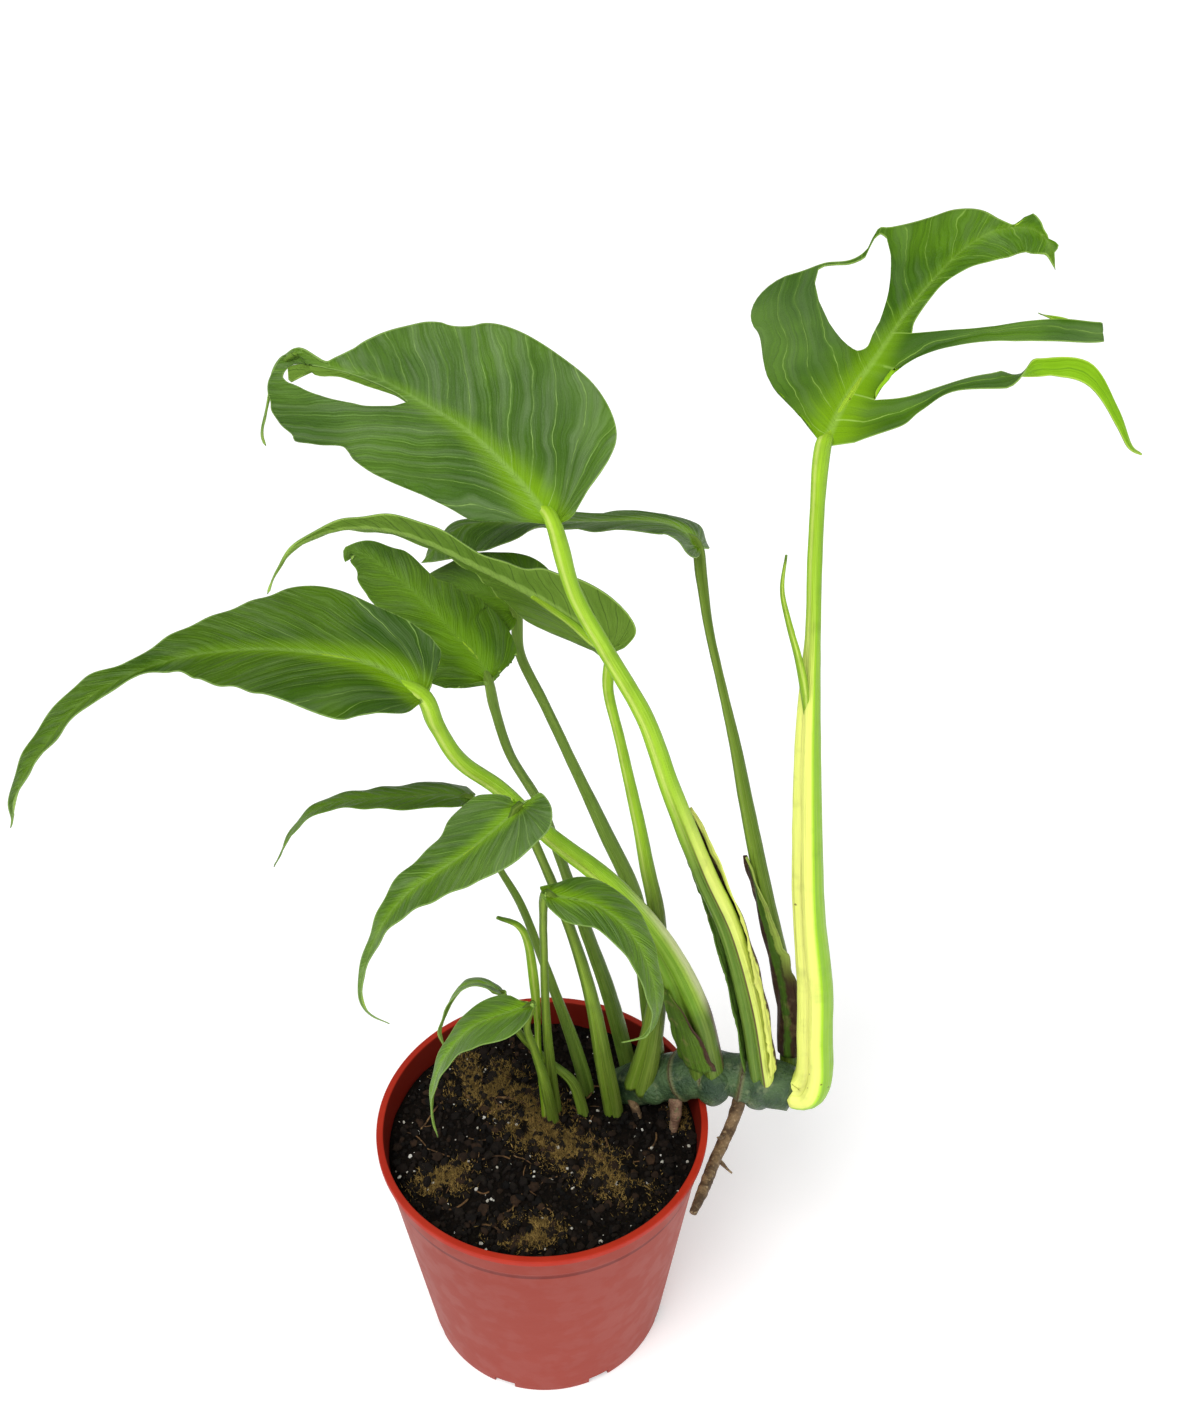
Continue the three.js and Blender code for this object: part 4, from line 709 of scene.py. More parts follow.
def vein_rows(m, margin, shares):
    """Places from the midrib stations m out to the margin places, bowed like the side veins."""
    m = np.asarray(m, float)[:, None]
    s, w = margin[:, 0:1], margin[:, 1:2]
    r = shares if shares.ndim == 2 else shares[None, :]
    a, b, c = (1 - r) ** 2, 2 * r * (1 - r), r * r
    middle = m + VEIN_BOW[0] * (s - m)
    return np.stack([a * m + b * middle + c * s, b * VEIN_BOW[1] * w + c * w], axis=-1)


def lobe_edge(edge, t):
    """A lobe's edge: straight to its second point, then smooth."""
    edge = np.asarray(edge, float)
    first = edge[0] + (edge[1] - edge[0]) * t[:, None]
    rest = smooth_at(edge[1:], np.maximum(t - 1, 0))
    return np.where((t < 1)[:, None], first, rest)


def between(stations, low, high):
    return stations[(stations >= low - SLACK) & (stations <= high + SLACK)]


class Blade:
    """A leaf's blade: a surface over [s, w] and the rows that cover it."""

    def __init__(self, leaf):
        self.leaf = leaf
        self.spine = Spine(leaf["midrib"], leaf["up"], UP_AT)
        t = np.arange(PROFILE_REACH) + 0.5
        self.profiles = []
        for slope in leaf["slopes"]:
            angle = np.radians(table_value(slope, t))
            steps = (np.cos(angle), np.sin(angle))
            self.profiles.append([np.concatenate([[0], np.cumsum(step)]) for step in steps])

    def place_free(self, s, w):
        """The surface as it hangs from the midrib, sloped and drooping to each side."""
        point, _, normal, side = self.spine.frame_at(s)
        t = np.abs(w)
        spots = np.arange(PROFILE_REACH + 1)
        across, rise = (
            np.where(w >= 0, np.interp(t, spots, left), np.interp(t, spots, right))
            for left, right in zip(*self.profiles)
        )
        droop = self.leaf.get("droop")
        if droop:
            turn = math.radians(droop["turn"]) * smooth_step(s, droop["start"], droop["end"])
            turn = np.where(w * droop["side"] > 0, turn, 0)
            across, rise = (
                across * np.cos(turn) - rise * np.sin(turn),
                rise * np.cos(turn) + across * np.sin(turn),
            )
        return point + side * (np.sign(w) * across)[:, None] + normal * rise[:, None]

    def place_flat(self, s, w):
        """The surface where its stiff side doesn't follow the midrib's bend past a station."""
        stiff = self.leaf.get("stiff")
        if stiff is None:
            return self.place_free(s, w)
        size = np.abs(w)
        pinch = smooth_step(s, *stiff["pinch"]) if "pinch" in stiff else 0 * size
        near = stiff["near"] + (PINCHED - stiff["near"]) * pinch
        narrow = np.where(w * stiff["side"] > 0, np.maximum(size - near, 0) * pinch, 0)
        free = self.place_free(s, np.sign(w) * (size - narrow))
        held = self.place_free(np.minimum(s, stiff["start"]), w)
        _, tangent, _, _ = self.spine.frame_at(np.array([stiff["start"]]))
        held = held + tangent * np.maximum(s - stiff["start"], 0)[:, None]
        k = smooth_step((size - near) / (stiff["far"] - near), 0, 1)
        k = np.where((w * stiff["side"] > 0) & (s > stiff["start"]), k, 0)[:, None]
        return free * (1 - k) + held * k

    def normal_at(self, s, w):
        ahead = self.place_flat(s + PROBE, w) - self.place_flat(s - PROBE, w)
        across = self.place_flat(s, w + PROBE) - self.place_flat(s, w - PROBE)
        return unit(np.cross(ahead, across))

    def place(self, s, w):
        """The surface with its rolled parts: each turns over past a line through the place at."""
        points = self.place_flat(s, w)
        for roll in self.leaf.get("rolls", []):
            at, ahead = np.array(roll["at"], float), np.array(roll["ahead"], float)
            ahead /= np.linalg.norm(ahead)
            offset = np.stack([s, w], axis=1) - at
            past = np.maximum(offset @ ahead, 0)
            beside = offset @ np.array([-ahead[1], ahead[0]])
            low, high = roll["beside"]
            part = (beside > low) & (beside < high) & (past > 0) & (w * roll["side"] > 0)
            base_s, base_w = s - past * ahead[0], w - past * ahead[1]
            base = self.place_flat(base_s, base_w)
            back = self.place_flat(base_s - ahead[0] * PROBE, base_w - ahead[1] * PROBE)
            forward = (base - back) / PROBE
            down = -self.normal_at(base_s, base_w)
            radius, limit = roll["radius"], math.radians(roll["turn"])
            angle = np.minimum(past / radius, limit)
            rest = np.maximum(past - radius * limit, 0)
            along = radius * np.sin(angle) + rest * math.cos(limit)
            sunk = radius * (1 - np.cos(angle)) + rest * math.sin(limit)
            rolled = base + forward * along[:, None] + down * sunk[:, None]
            points = np.where(part[:, None], rolled, points)
        return points

    def surface(self, flat, marks):
        points = self.place(flat[:, 0], flat[:, 1])
        return points + self.normal_at(flat[:, 0], flat[:, 1]) * marks[:, 5:6]

    def with_stations(self, margin):
        """Margin places as arrays, with the midrib station that each one's veins start from."""
        places = np.array([p[:2] for p in margin], float)
        places[-1, 0] = self.spine.length
        if len(margin[0]) > 2:
            stations = np.array([p[2] for p in margin], float)
        else:
            stations = np.maximum(0, places[:, 0] - VEIN_LEAN * places[:, 1])
        stations[-1] = self.spine.length
        return places, np.maximum.accumulate(stations)

    def margin_at(self, places, stations, m):
        m = np.asarray(m, float)
        after = np.clip(np.searchsorted(stations, m, side="left"), 1, len(stations) - 1)
        after = np.where(stations[after] > 0, after, np.argmax(stations > 0))
        low, high = stations[after - 1], stations[after]
        t = after - 1 + (m - low) / np.maximum(high - low, TINY)
        return smooth_at(places, t)

    def stations(self):
        """Midrib stations that both sides share, with those that holes and lobes need."""
        fixed = [0, self.spine.length]
        if "hole" in self.leaf:
            low, high = self.leaf["hole"][0][0], self.leaf["hole"][-1][0]
            fixed += list(low + np.array(HOLE_END_SHARES) * (high - low))
        for lobe in self.leaf.get("lobes", []):
            fixed += [lobe["start"], lobe["end"]]
        fixed = sorted(set(fixed))
        spots = [0.0]
        for low, high in zip(fixed, fixed[1:]):
            steps = max(1, math.ceil((high - low) / ROW_STEP))
            spots += list(low + (high - low) * np.arange(1, steps + 1) / steps)
        return np.array(spots)

    def add(self, sheet, sign, grid, share, edge, vein=None, raised=0):
        """Add a grid of one side. vein counts the side veins, share runs from midrib to margin and
        edge is the distance to the margin in mm."""
        s, w = grid[..., 0], grid[..., 1]
        if vein is None:
            vein = self.vein_count(s, w, sign)
        sheet.add(grid * np.array([1, sign]), stack_marks(vein, share, w, edge, s, raised), sign < 0)

    def add_rows(self, sheet, sign, m, edge_places, shares):
        grid = vein_rows(m, edge_places, shares)
        share = np.broadcast_to(shares, grid.shape[:2])
        length = np.hypot(edge_places[:, 0] - m, edge_places[:, 1])[:, None]
        self.add(sheet, sign, grid, share, (1 - share) * length * ROW_EDGE_SHARE)

    def add_lobes(self, sheet, sign, places, stations, all_stations):
        """Lobes between their lower and upper edges, and what lies past the last of them."""
        lobes = self.leaf["lobes"]
        for number, lobe in enumerate(lobes):
            m = between(all_stations, lobe["start"], lobe["end"])
            cross = ((m - lobe["start"]) / (lobe["end"] - lobe["start"]))[:, None]
            count = len(lobe["lower"]) - 1
            t = np.linspace(0, count, count * LOBE_STEPS + 1)
            lower, upper = (lobe_edge(lobe[key], t) for key in ("lower", "upper"))
            width = np.linalg.norm(upper - lower, axis=1)[None, :]
            turned = smooth_step(t, *lobe["turned"]) if "turned" in lobe else 0 * t
            side = turned + (1 - 2 * turned) * cross
            grid = lower[None] + (upper - lower)[None] * side[..., None]
            raised = (0.5 - cross) * width * 2 * np.sqrt(turned * (1 - turned))
            vein = cross + (number - len(lobes)) + np.zeros_like(width)
            share = np.broadcast_to(t / count, vein.shape)
            self.add(sheet, sign, grid, share, np.minimum(cross, 1 - cross) * width, vein, raised)
        m = between(all_stations, lobes[-1]["end"], self.spine.length)
        edge_places = self.margin_at(places, stations, m)
        edge_places[0] = places[0]
        shares = np.linspace(0, 1, NARROW_COLUMNS)
        edge_s, edge_w = edge_places[:, 0:1], edge_places[:, 1:2]
        grid = np.stack([m[:, None] + (edge_s - m[:, None]) * shares, edge_w * shares], axis=-1)
        share = np.broadcast_to(shares, grid.shape[:2])
        self.add(sheet, sign, grid, share, (1 - share) * edge_w)

    def add_round_hole(self, sheet, sign, places, stations, all_stations):
        """Rows before and after the hole, and the bands inside and outside it."""
        middle = COLUMNS // 2
        rows = np.array(self.leaf["hole"], float)
        low, high = rows[0, 0], rows[-1, 0]
        for first, last, column in ((0, low, rows[0, 1]), (high, self.spine.length, rows[-1, 1])):
            m = between(all_stations, first, last)
            split = np.concatenate([np.linspace(0, column, middle), np.linspace(column, 1, middle)[1:]])
            self.add_rows(sheet, sign, m, self.margin_at(places, stations, m), split)
        m = between(all_stations, low, high)
        edges = self.hole_edges(m)
        edge_places = self.margin_at(places, stations, m)
        length = np.hypot(edge_places[:, 0] - m, edge_places[:, 1])[:, None]
        across = np.linspace(0, 1, middle)[None, :]
        inner, outer = edges[:, 0:1], edges[:, 1:2]
        share = inner * across
        self.add(sheet, sign, vein_rows(m, edge_places, share), share, np.abs(inner - share) * length)
        share = outer + (1 - outer) * across
        edge = np.minimum(np.abs(outer - share) * length, (1 - share) * length)
        self.add(sheet, sign, vein_rows(m, edge_places, share), share, edge)

    def add_side(self, sheet, margin, sign, all_stations):
        has_lobes = "lobes" in self.leaf and sign < 0
        has_hole = "hole" in self.leaf and sign > 0
        places, stations = self.with_stations(margin)
        shares = np.linspace(0, 1, COLUMNS) ** COLUMN_SPREAD
        last_fan = int(np.argmax(stations > 0)) - 1
        if last_fan > 0 and not has_lobes:
            t = np.arange(0, last_fan + FAN_STEP / 2, FAN_STEP)
            self.add_rows(sheet, sign, np.zeros(len(t)), smooth_at(places, t), shares)
        if has_lobes:
            self.add_lobes(sheet, sign, places, stations, all_stations)
        elif has_hole:
            self.add_round_hole(sheet, sign, places, stations, all_stations)
        else:
            edge_places = self.margin_at(places, stations, all_stations)
            self.add_rows(sheet, sign, all_stations, edge_places, shares)

    def hole_edges(self, m):
        """Inner and outer edge of the hole at each station, as shares of its row."""
        rows = np.array(self.leaf["hole"], float)
        edges = smooth_at(rows[:, 1:], np.interp(m, rows[:, 0], np.arange(len(rows))))
        edges[:, 1] = np.maximum(edges[:, 1], edges[:, 0])
        edges[[0, -1]] = rows[[0, -1], 1:]
        return edges

    def hole_lip(self, all_stations):
        """The band of underside that shows below the hole's inner edge, where the blade arches over."""
        rows = self.leaf["hole"]
        m = all_stations[(all_stations >= rows[0][0]) & (all_stations <= rows[-1][0])]
        places, stations = self.with_stations(self.leaf["left"])
        edge = vein_rows(m, self.margin_at(places, stations, m), self.hole_edges(m)[:, 0:1])
        columns = np.linspace(0, 1, LIP_COLUMNS)
        deep = table_value(self.leaf["lip"], m)[:, None] * columns
        grid = edge + np.stack([0 * deep, deep], axis=-1)
        s, w = grid[..., 0], grid[..., 1]
        sunk = LIP_SINK + LIP_ARCH * np.sin(columns * np.pi / 2)
        lip = Sheet()
        lip.add(grid, stack_marks(self.vein_count(s, w, 1), 0.1, w, 5 - 5 * columns, s, -sunk), True)
        return lip.build(self.surface, even(0), even(EDGE_THICKNESS))

    def vein_count(self, s, w, sign):
        """Which side vein a place is at: they lean to the tip, and fan out behind the joint."""
        lean = self.leaf["lean"][0 if sign > 0 else 1]
        bowed = w * lean * (1 + w / VEIN_CURL)
        ahead = s - bowed
        wiggle = 0.07 * np.sin(w / 6.1 + s / 13) + 0.05 * np.sin(w / 2.9 - s / 7)
        out = np.maximum(w, SLACK)
        behind = np.arctan2(bowed, out) - np.arctan2(s, out)
        fan = -behind / math.radians(FAN_VEIN_ANGLE)
        return np.where(ahead >= 0, ahead / self.leaf["vein_spacing"], fan) + wiggle

    def rib(self, size, flat, across):
        """The size along the midrib at the joint, falling to 0 at the tip and to both sides."""
        along = np.clip(flat[:, 0] / self.spine.length, 0, 1)
        return size * hump(across, RIB_HALF_WIDTH) * (1 - along)

    def lift(self, flat, marks):
        """Relief on the upper side: sunken veins, quilted strips between them, a waved margin."""
        vein, share, across, edge = marks[:, :4].T
        from_vein = np.abs(vein - np.floor(vein) - 0.5)
        sunken = -VEIN_SINK * hump(from_vein, VEIN_WIDTH) * smooth_step(share, 0, 0.1)
        quilt = -QUILT_HEIGHT * np.cos(2 * np.pi * (vein - 0.5)) * smooth_step(share, 0, 0.35)
        ridges = RIDGE_HEIGHT * np.sin(4 * np.pi * vein + 1)
        midrib = self.rib(-RIB_SINK, flat, across)
        wave = self.leaf["wave"] * share**2 * np.sin(2 * np.pi * WAVES_PER_VEIN * vein + 1.3)
        return (sunken + quilt + ridges) * smooth_step(edge, 0, 6) + midrib + wave

    def depth(self, flat, marks):
        """Thickness, thinner at the margin, with a rib under the midrib."""
        across, edge = marks[:, 2], marks[:, 3]
        body = EDGE_THICKNESS + (BLADE_THICKNESS - EDGE_THICKNESS) * smooth_step(edge, 0, 2.5)
        return body + self.rib(RIB_DEPTH, flat, across)

    def make(self, materials):
        """The blade's object. Its UV maps hold vein and share, cm across and to the margin, and dm
        along and across."""
        sheet = Sheet()
        stations = self.stations()
        self.add_side(sheet, self.leaf["left"], 1, stations)
        self.add_side(sheet, self.leaf["right"], -1, stations)
        pieces = [sheet.build(self.surface, self.lift, self.depth)]
        if "lip" in self.leaf:
            pieces.append(self.hole_lip(stations))
        points, triangles, marks, kinds = joined(pieces)
        uvs = {"Veins": marks[:, [0, 1]], "Sizes": marks[:, [2, 3]] / 10, "Along": marks[:, [4, 2]] / 100}
        return make_object(f"{self.leaf['name']}_blade_leaf", points, triangles, materials, uvs, kinds)


# Rods: petioles, stem, roots

def plain_round(share, degrees):
    return np.ones(np.broadcast(share, degrees).shape)


def rod_points(path, radii, shape=plain_round, sides=24, step=2.0, groove=(0, -1, 0), groove_at=GROOVE_AT):
    """Points, triangles and corner values [share of the way round, mm along] of a closed rod, and its
    length. shape(share, degrees) scales its radius."""
    spine = Spine(path, groove, groove_at)
    rings = max(3, int(round(spine.length / step)))
    s = np.linspace(0, spine.length, rings + 1)
    point, tangent, normal, side = spine.frame_at(s)
    radius = spine.radius_at(radii, s)
    degrees = np.linspace(0, 360, sides + 1)
    angle = np.radians(degrees)
    reach = radius[:, None] * shape((s / spine.length)[:, None], degrees[None, :])
    points = (
        point[:, None]
        + normal[:, None] * (np.cos(angle)[None, :] * reach)[..., None]
        + side[:, None] * (np.sin(angle)[None, :] * reach)[..., None]
    )
    columns = np.arange(sides)
    index = np.arange(rings)[:, None] * sides
    a = index + columns
    b = index + (columns + 1) % sides
    halves = ((a, a + sides, b), (b, a + sides, b + sides))
    walls = [np.stack(corners, axis=-1).reshape(-1, 3) for corners in halves]
    ends = np.stack([s[:-1], s[1:]], axis=1)
    uv = []
    for round_corners, end_corners in (((0, 0, 1), [0, 1, 0]), ((1, 0, 1), [0, 1, 1])):
        around = (columns[:, None] + np.array(round_corners)) / sides
        along = ends[:, end_corners][:, None].repeat(sides, 1)
        uv.append(np.stack([np.broadcast_to(around, along.shape), along], axis=-1).reshape(-1, 2))
    body = points[:, :-1].reshape(-1, 3)
    tips = np.array([point[0], point[-1] + tangent[-1] * ROD_TIP * radius[-1]])
    first, last = len(body), len(body) + 1
    tail = rings * sides
    caps = np.concatenate([
        np.stack([np.full(sides, first), columns, (columns + 1) % sides], axis=1),
        np.stack([np.full(sides, last), tail + (columns + 1) % sides, tail + columns], axis=1),
    ])
    cap_uv = np.zeros((len(caps) * 3, 2))
    cap_uv[:, 0] = 0.5
    cap_uv[len(cap_uv) // 2:, 1] = spine.length
    points, triangles = np.concatenate([body, tips]), np.concatenate([*walls, caps])
    return points, triangles, np.concatenate([*uv, cap_uv]), spine.length


def lump_points(middle, half_width, half_height):
    """Points, triangles and corner values of an upright egg shape."""
    reach = np.linspace(-LUMP_REACH, LUMP_REACH, LUMP_RINGS)
    path = [[middle[0], middle[1], middle[2] + half_height * r] for r in reach]
    radii = list(half_width * np.sqrt(1 - reach ** 2))
    return rod_points(path, radii, sides=36, step=0.8)[:3]


def make_rod(name, path, radii, material, bumps=0.0, bump_size=1.0, more=(), **form):
    """A rod object, with more pieces joined to it. Its UV map holds the share of the way round and the
    share along."""
    *rod, length = rod_points(path, radii, **form)
    points, triangles, uv = joined([rod, *more])
    if bumps:
        normals = corner_normals(points, triangles)
        points = points + normals * (bumps * smooth_noise(points, bump_size))[:, None]
    return make_object(name, points, triangles, [material], {"Round": uv / np.array([1, length])})


# Materials

def rgb(red, green, blue):
    """An sRGB colour from 0 to 255 as a linear colour."""
    def linear(c):
        c = c / 255
        return c / 12.92 if c <= 0.04045 else ((c + 0.055) / 1.055) ** 2.4
    return (linear(red), linear(green), linear(blue), 1.0)


class Shader:
    """A node material that is built up step by step."""

    def __init__(self, name, specular):
        self.material = bpy.data.materials.new(name)
        self.material.use_nodes = True
        self.tree = self.material.node_tree
        self.bsdf = self.tree.nodes["Principled BSDF"]
        self.put(self.bsdf.inputs["Specular IOR Level"], specular)

    def put(self, socket, value):
        if isinstance(value, bpy.types.NodeSocket):
            self.tree.links.new(value, socket)
        else:
            socket.default_value = value

    def node(self, kind, *values, **named):
        """A new node, with values or links in its first inputs and in the named ones."""
        node = self.tree.nodes.new("ShaderNode" + kind)
        for socket, value in zip(node.inputs, values):
            self.put(socket, value)
        for name, value in named.items():
            self.put(node.inputs[name], value)
        return node

    def math(self, operation, a, b=0.0):
        node = self.node("Math", a, b)
        node.operation = operation
        return node.outputs[0]

    def times(self, a, b):
        return self.math("MULTIPLY", a, b)

    def plus(self, a, b):
        return self.math("ADD", a, b)

    def minus(self, a, b):
        return self.math("SUBTRACT", a, b)

    def distance(self, x, y):
        squares = [self.math("POWER", value, 2.0) for value in (x, y)]
        return self.math("SQRT", self.plus(*squares))

    def ramp(self, value, low, high, at_low=0.0, at_high=1.0):
        """at_low below low, at_high above high, smooth between them."""
        node = self.node("MapRange", value, low, high, at_low, at_high)
        node.interpolation_type = "SMOOTHSTEP"
        return node.outputs[0]

    def mix(self, factor, a, b):
        node = self.node("Mix", factor)
        node.data_type = "RGBA"
        self.put(node.inputs[6], a)
        self.put(node.inputs[7], b)
        return node.outputs[2]

    def tint(self, colour, other, share, *more_shares):
        """The colour with another mixed in by the product of the shares."""
        for more in more_shares:
            share = self.times(share, more)
        return self.mix(share, colour, other)

    def parts(self, vector):
        return self.node("SeparateXYZ", vector).outputs

    def uv(self, name):
        """The two values that a UV map holds."""
        node = self.node("UVMap")
        node.uv_map = name
        return self.parts(node.outputs[0])[:2]

    def place(self):
        """Place on the object, in metres."""
        return self.node("TexCoord").outputs["Object"]

    def join(self, x, y, z=0.0):
        return self.node("CombineXYZ", x, y, z).outputs[0]

    def noise(self, vector, scale, detail=3.0, low=0.35, high=0.65):
        """Noise from 0 to 1, with most of its range between low and high of the plain noise."""
        plain_noise = self.node("TexNoise", Vector=vector, Scale=scale, Detail=detail)
        return self.ramp(plain_noise.outputs[0], low, high)

    def patches(self, vector, scale, detail, low, high):
        """Noise between two values."""
        return self.ramp(self.noise(vector, scale, detail), 0, 1, low, high)

    def sway(self, vector, scale, width, *settings):
        """Noise to both sides of 0, as wide as given."""
        return self.times(self.minus(self.noise(vector, scale, *settings), 0.5), width)

    def streaks(self, x, x_count, y, y_count, *settings):
        """Noise with so many streaks for each unit of x and of y."""
        spot = self.join(self.times(x, x_count), self.times(y, y_count))
        return self.noise(spot, 1, *settings)

    def cells(self, vector, scale):
        return self.node("TexVoronoi", Vector=vector, Scale=scale).outputs["Distance"]

    def colours(self, value, stops):
        """Colour at value from a list of (place, colour)."""
        node = self.node("ValToRGB", value)
        ramp = node.color_ramp
        while len(ramp.elements) < len(stops):
            ramp.elements.new(0.5)
        for element, (spot, colour) in zip(ramp.elements, stops):
            element.position = spot
            element.color = colour
        return node.outputs[0]

    def done(self, colour, roughness, relief=None, relief_metres=0.0):
        self.put(self.bsdf.inputs["Base Color"], colour)
        self.put(self.bsdf.inputs["Roughness"], roughness)
        if relief is not None:
            bump = self.node("Bump", Strength=1.0, Distance=relief_metres, Height=relief)
            self.put(self.bsdf.inputs["Normal"], bump.outputs[0])
        return self.material


LIME = rgb(122, 168, 6)
PALE_VEIN = rgb(150, 184, 96)
UNDER_VEIN = rgb(54, 82, 18)
UNDER_EDGE = rgb(166, 200, 96)
JOINT_GREEN = rgb(166, 206, 50)


def leaf_values(shader):
    """The place, the count of side veins with some wander, the distance from the nearest one as a share
    of their spacing, the share of the way to the margin, cm from the midrib and to the margin, and dm
    along the leaf."""
    count, out = shader.uv("Veins")
    across, edge = shader.uv("Sizes")
    along, _ = shader.uv("Along")
    place = shader.place()
    wide = shader.sway(place, 30, 0.34, 2, 0.3, 0.7)
    fine = shader.sway(place, 110, 0.08, 2, 0.3, 0.7)
    count = shader.plus(count, shader.times(shader.plus(wide, fine), shader.ramp(out, 0.02, 0.3)))
    from_vein = shader.math("ABSOLUTE", shader.minus(shader.math("FRACT", count), 0.5))
    return place, count, from_vein, out, across, edge, along


def leaf_top(name, deep, light, vein=PALE_VEIN, lime=LIME, glow=0.6, glow_width=1.3, sheen=0.3, rib=0.42):
    """Upper side: softly striped green, brighter towards the joint and the midrib, with pale veins and a
    painted grey sheen in bands and patches.
    """
    shader = Shader(name, 0.14)
    place, count, from_vein, out, across, edge, along = leaf_values(shader)
    away = shader.distance(along, shader.times(across, 0.1))
    # Grey of the painted sheen: a reflection of the bright room painted into the colour
    grey = rgb(128, 148, 108)

    # Broad bands of painted grey sheen and fine darker streaks along the side veins
    bands = shader.streaks(count, 1.9, out, 0.7, 2, 0.42, 0.68)
    streaks = shader.streaks(count, 8, out, 1.3, 3, 0.38, 0.68)
    darker = shader.mix(0.55, deep, rgb(28, 52, 4))
    colour = shader.mix(shader.noise(place, 22, 3), deep, light)
    colour = shader.tint(colour, darker, streaks, 0.34)
    # Painted sheen: grey reflection painted along the broad bands
    colour = shader.tint(colour, grey, bands, sheen)
    colour = shader.tint(colour, light, shader.ramp(from_vein, 0.0, 0.14, 0.3, 0.0))

    # Brighter near the joint and along the midrib
    near_joint = shader.ramp(away, 0.0, glow, 1.0, 0.0)
    glow_reach = shader.plus(0.6, shader.times(streaks, 0.4))
    glow_wide = shader.ramp(across, 0.1, glow_width, 1.0, 0.0)
    colour = shader.tint(colour, lime, near_joint, glow_reach, glow_wide)
    rib_share = shader.math("DIVIDE", across, shader.ramp(along, 0.0, 1.3, rib, rib * 0.3))
    rib_fade = shader.ramp(along, 0.15, 1.25, 0.95, 0.25)
    colour = shader.tint(colour, lime, shader.ramp(rib_share, 0.2, 2.4, 0.75, 0.0), rib_fade)

    # Thin broken lines at the side veins, a crease at the midrib and a pale margin
    thin = shader.ramp(from_vein, 0.004, 0.024, 1.0, 0.0)
    fading = shader.ramp(away, 0.1, 0.95, 0.75, 0.38)
    broken = shader.noise(place, 130, 3, 0.3, 0.58)
    colour = shader.tint(colour, vein, thin, fading, broken)
    colour = shader.tint(colour, vein, shader.ramp(rib_share, 0.1, 0.5, 0.4, 0.0), rib_fade)
    colour = shader.tint(colour, vein, shader.ramp(edge, 0.02, 0.06, 0.6, 0.0))

    # Painted sheen: a grey reflection painted on in patches, over a fine grain
    colour = shader.tint(colour, grey, shader.noise(place, 14, 2, 0.45, 0.75), sheen)
    relief = shader.plus(shader.times(streaks, 0.9), shader.times(shader.noise(place, 900, 2), 0.15))
    return shader.done(colour, shader.patches(place, 60, 3, 0.34, 0.46), relief, 0.0003)


def leaf_under(name, base, light, vein=UNDER_VEIN, edge_colour=UNDER_EDGE):
    """Underside: paler and duller, with thin dark lines at its veins."""
    shader = Shader(name, 0.12)
    place, count, from_vein, out, across, edge, along = leaf_values(shader)
    stripes = shader.streaks(count, 7, out, 1, 3)
    colour = shader.mix(shader.noise(place, 30, 3), base, light)
    colour = shader.tint(colour, light, stripes, 0.3)
    colour = shader.tint(colour, vein, shader.ramp(from_vein, 0.012, 0.04, 0.75, 0.0))
    rib_share = shader.math("DIVIDE", across, shader.ramp(along, 0.0, 1.5, 0.3, 0.1))
    colour = shader.tint(colour, edge_colour, shader.ramp(rib_share, 0.6, 1.0, 0.4, 0.0))
    colour = shader.tint(colour, edge_colour, shader.ramp(edge, 0.03, 0.08, 0.75, 0.0))
    return shader.done(colour, shader.patches(place, 80, 3, 0.46, 0.6), stripes, 0.0002)


def stalk_material(name, low, high, sheath, specks=0.0, foot=None, joint=JOINT_GREEN):
    """Petiole: low and high list (share of the way round, colour) for its sheath and above it, and foot
    holds the share along where its base ends and a list like them for the base."""
    shader = Shader(name, 0.2)
    around, along = shader.uv("Round")
    place = shader.place()
    # The colours round hold painted highlight on the groove side and painted shade behind
    sheathed = shader.colours(around, low)
    if foot:
        foot_share, foot_round = foot
        at_foot = shader.ramp(along, foot_share - 0.03, foot_share + 0.03, 1.0, 0.0)
        sheathed = shader.mix(at_foot, sheathed, shader.colours(around, foot_round))
    above = shader.ramp(along, sheath - 0.12, sheath + 0.06)
    colour = shader.mix(above, sheathed, shader.colours(around, high))
    lines = shader.streaks(around, 42, along, 5, 3)
    colour = shader.tint(colour, shader.mix(0.4, colour, rgb(226, 240, 130)), lines, 0.3)
    blotches = shader.noise(place, 90, 4, 0.5, 0.75)
    colour = shader.tint(colour, shader.mix(0.45, colour, rgb(50, 84, 20)), blotches, 0.4)
    colour = shader.tint(colour, joint, shader.ramp(along, 0.93, 0.985))
    if specks:
        spot = shader.ramp(shader.cells(place, 210), 0.08, 0.16, 1.0, 0.0)
        where = shader.noise(place, 35, 2, 0.55, 0.62)
        colour = shader.tint(colour, rgb(96, 66, 30), spot, where, specks)
    return shader.done(colour, shader.patches(place, 120, 3, 0.36, 0.5), lines, 0.00025)


def dry_material(name, low, high):
    """Papery sheath, streaked along its length; low and high list (share across, colour)."""
    shader = Shader(name, 0.25)
    around, along = shader.uv("Round")
    place = shader.place()
    across = shader.plus(around, shader.sway(place, 260, 0.03))
    above = shader.ramp(along, 0.2, 0.3)
    colour = shader.mix(above, shader.colours(across, low), shader.colours(across, high))
    streaks = shader.streaks(around, 22, along, 4, 4, 0.35, 0.7)
    colour = shader.tint(colour, shader.mix(0.4, colour, rgb(34, 26, 18)), streaks, 0.6)
    colour = shader.tint(colour, rgb(168, 146, 100), shader.noise(place, 160, 4, 0.55, 0.72), 0.3)
    return shader.done(colour, shader.patches(place, 150, 2, 0.6, 0.85), streaks, 0.0006)


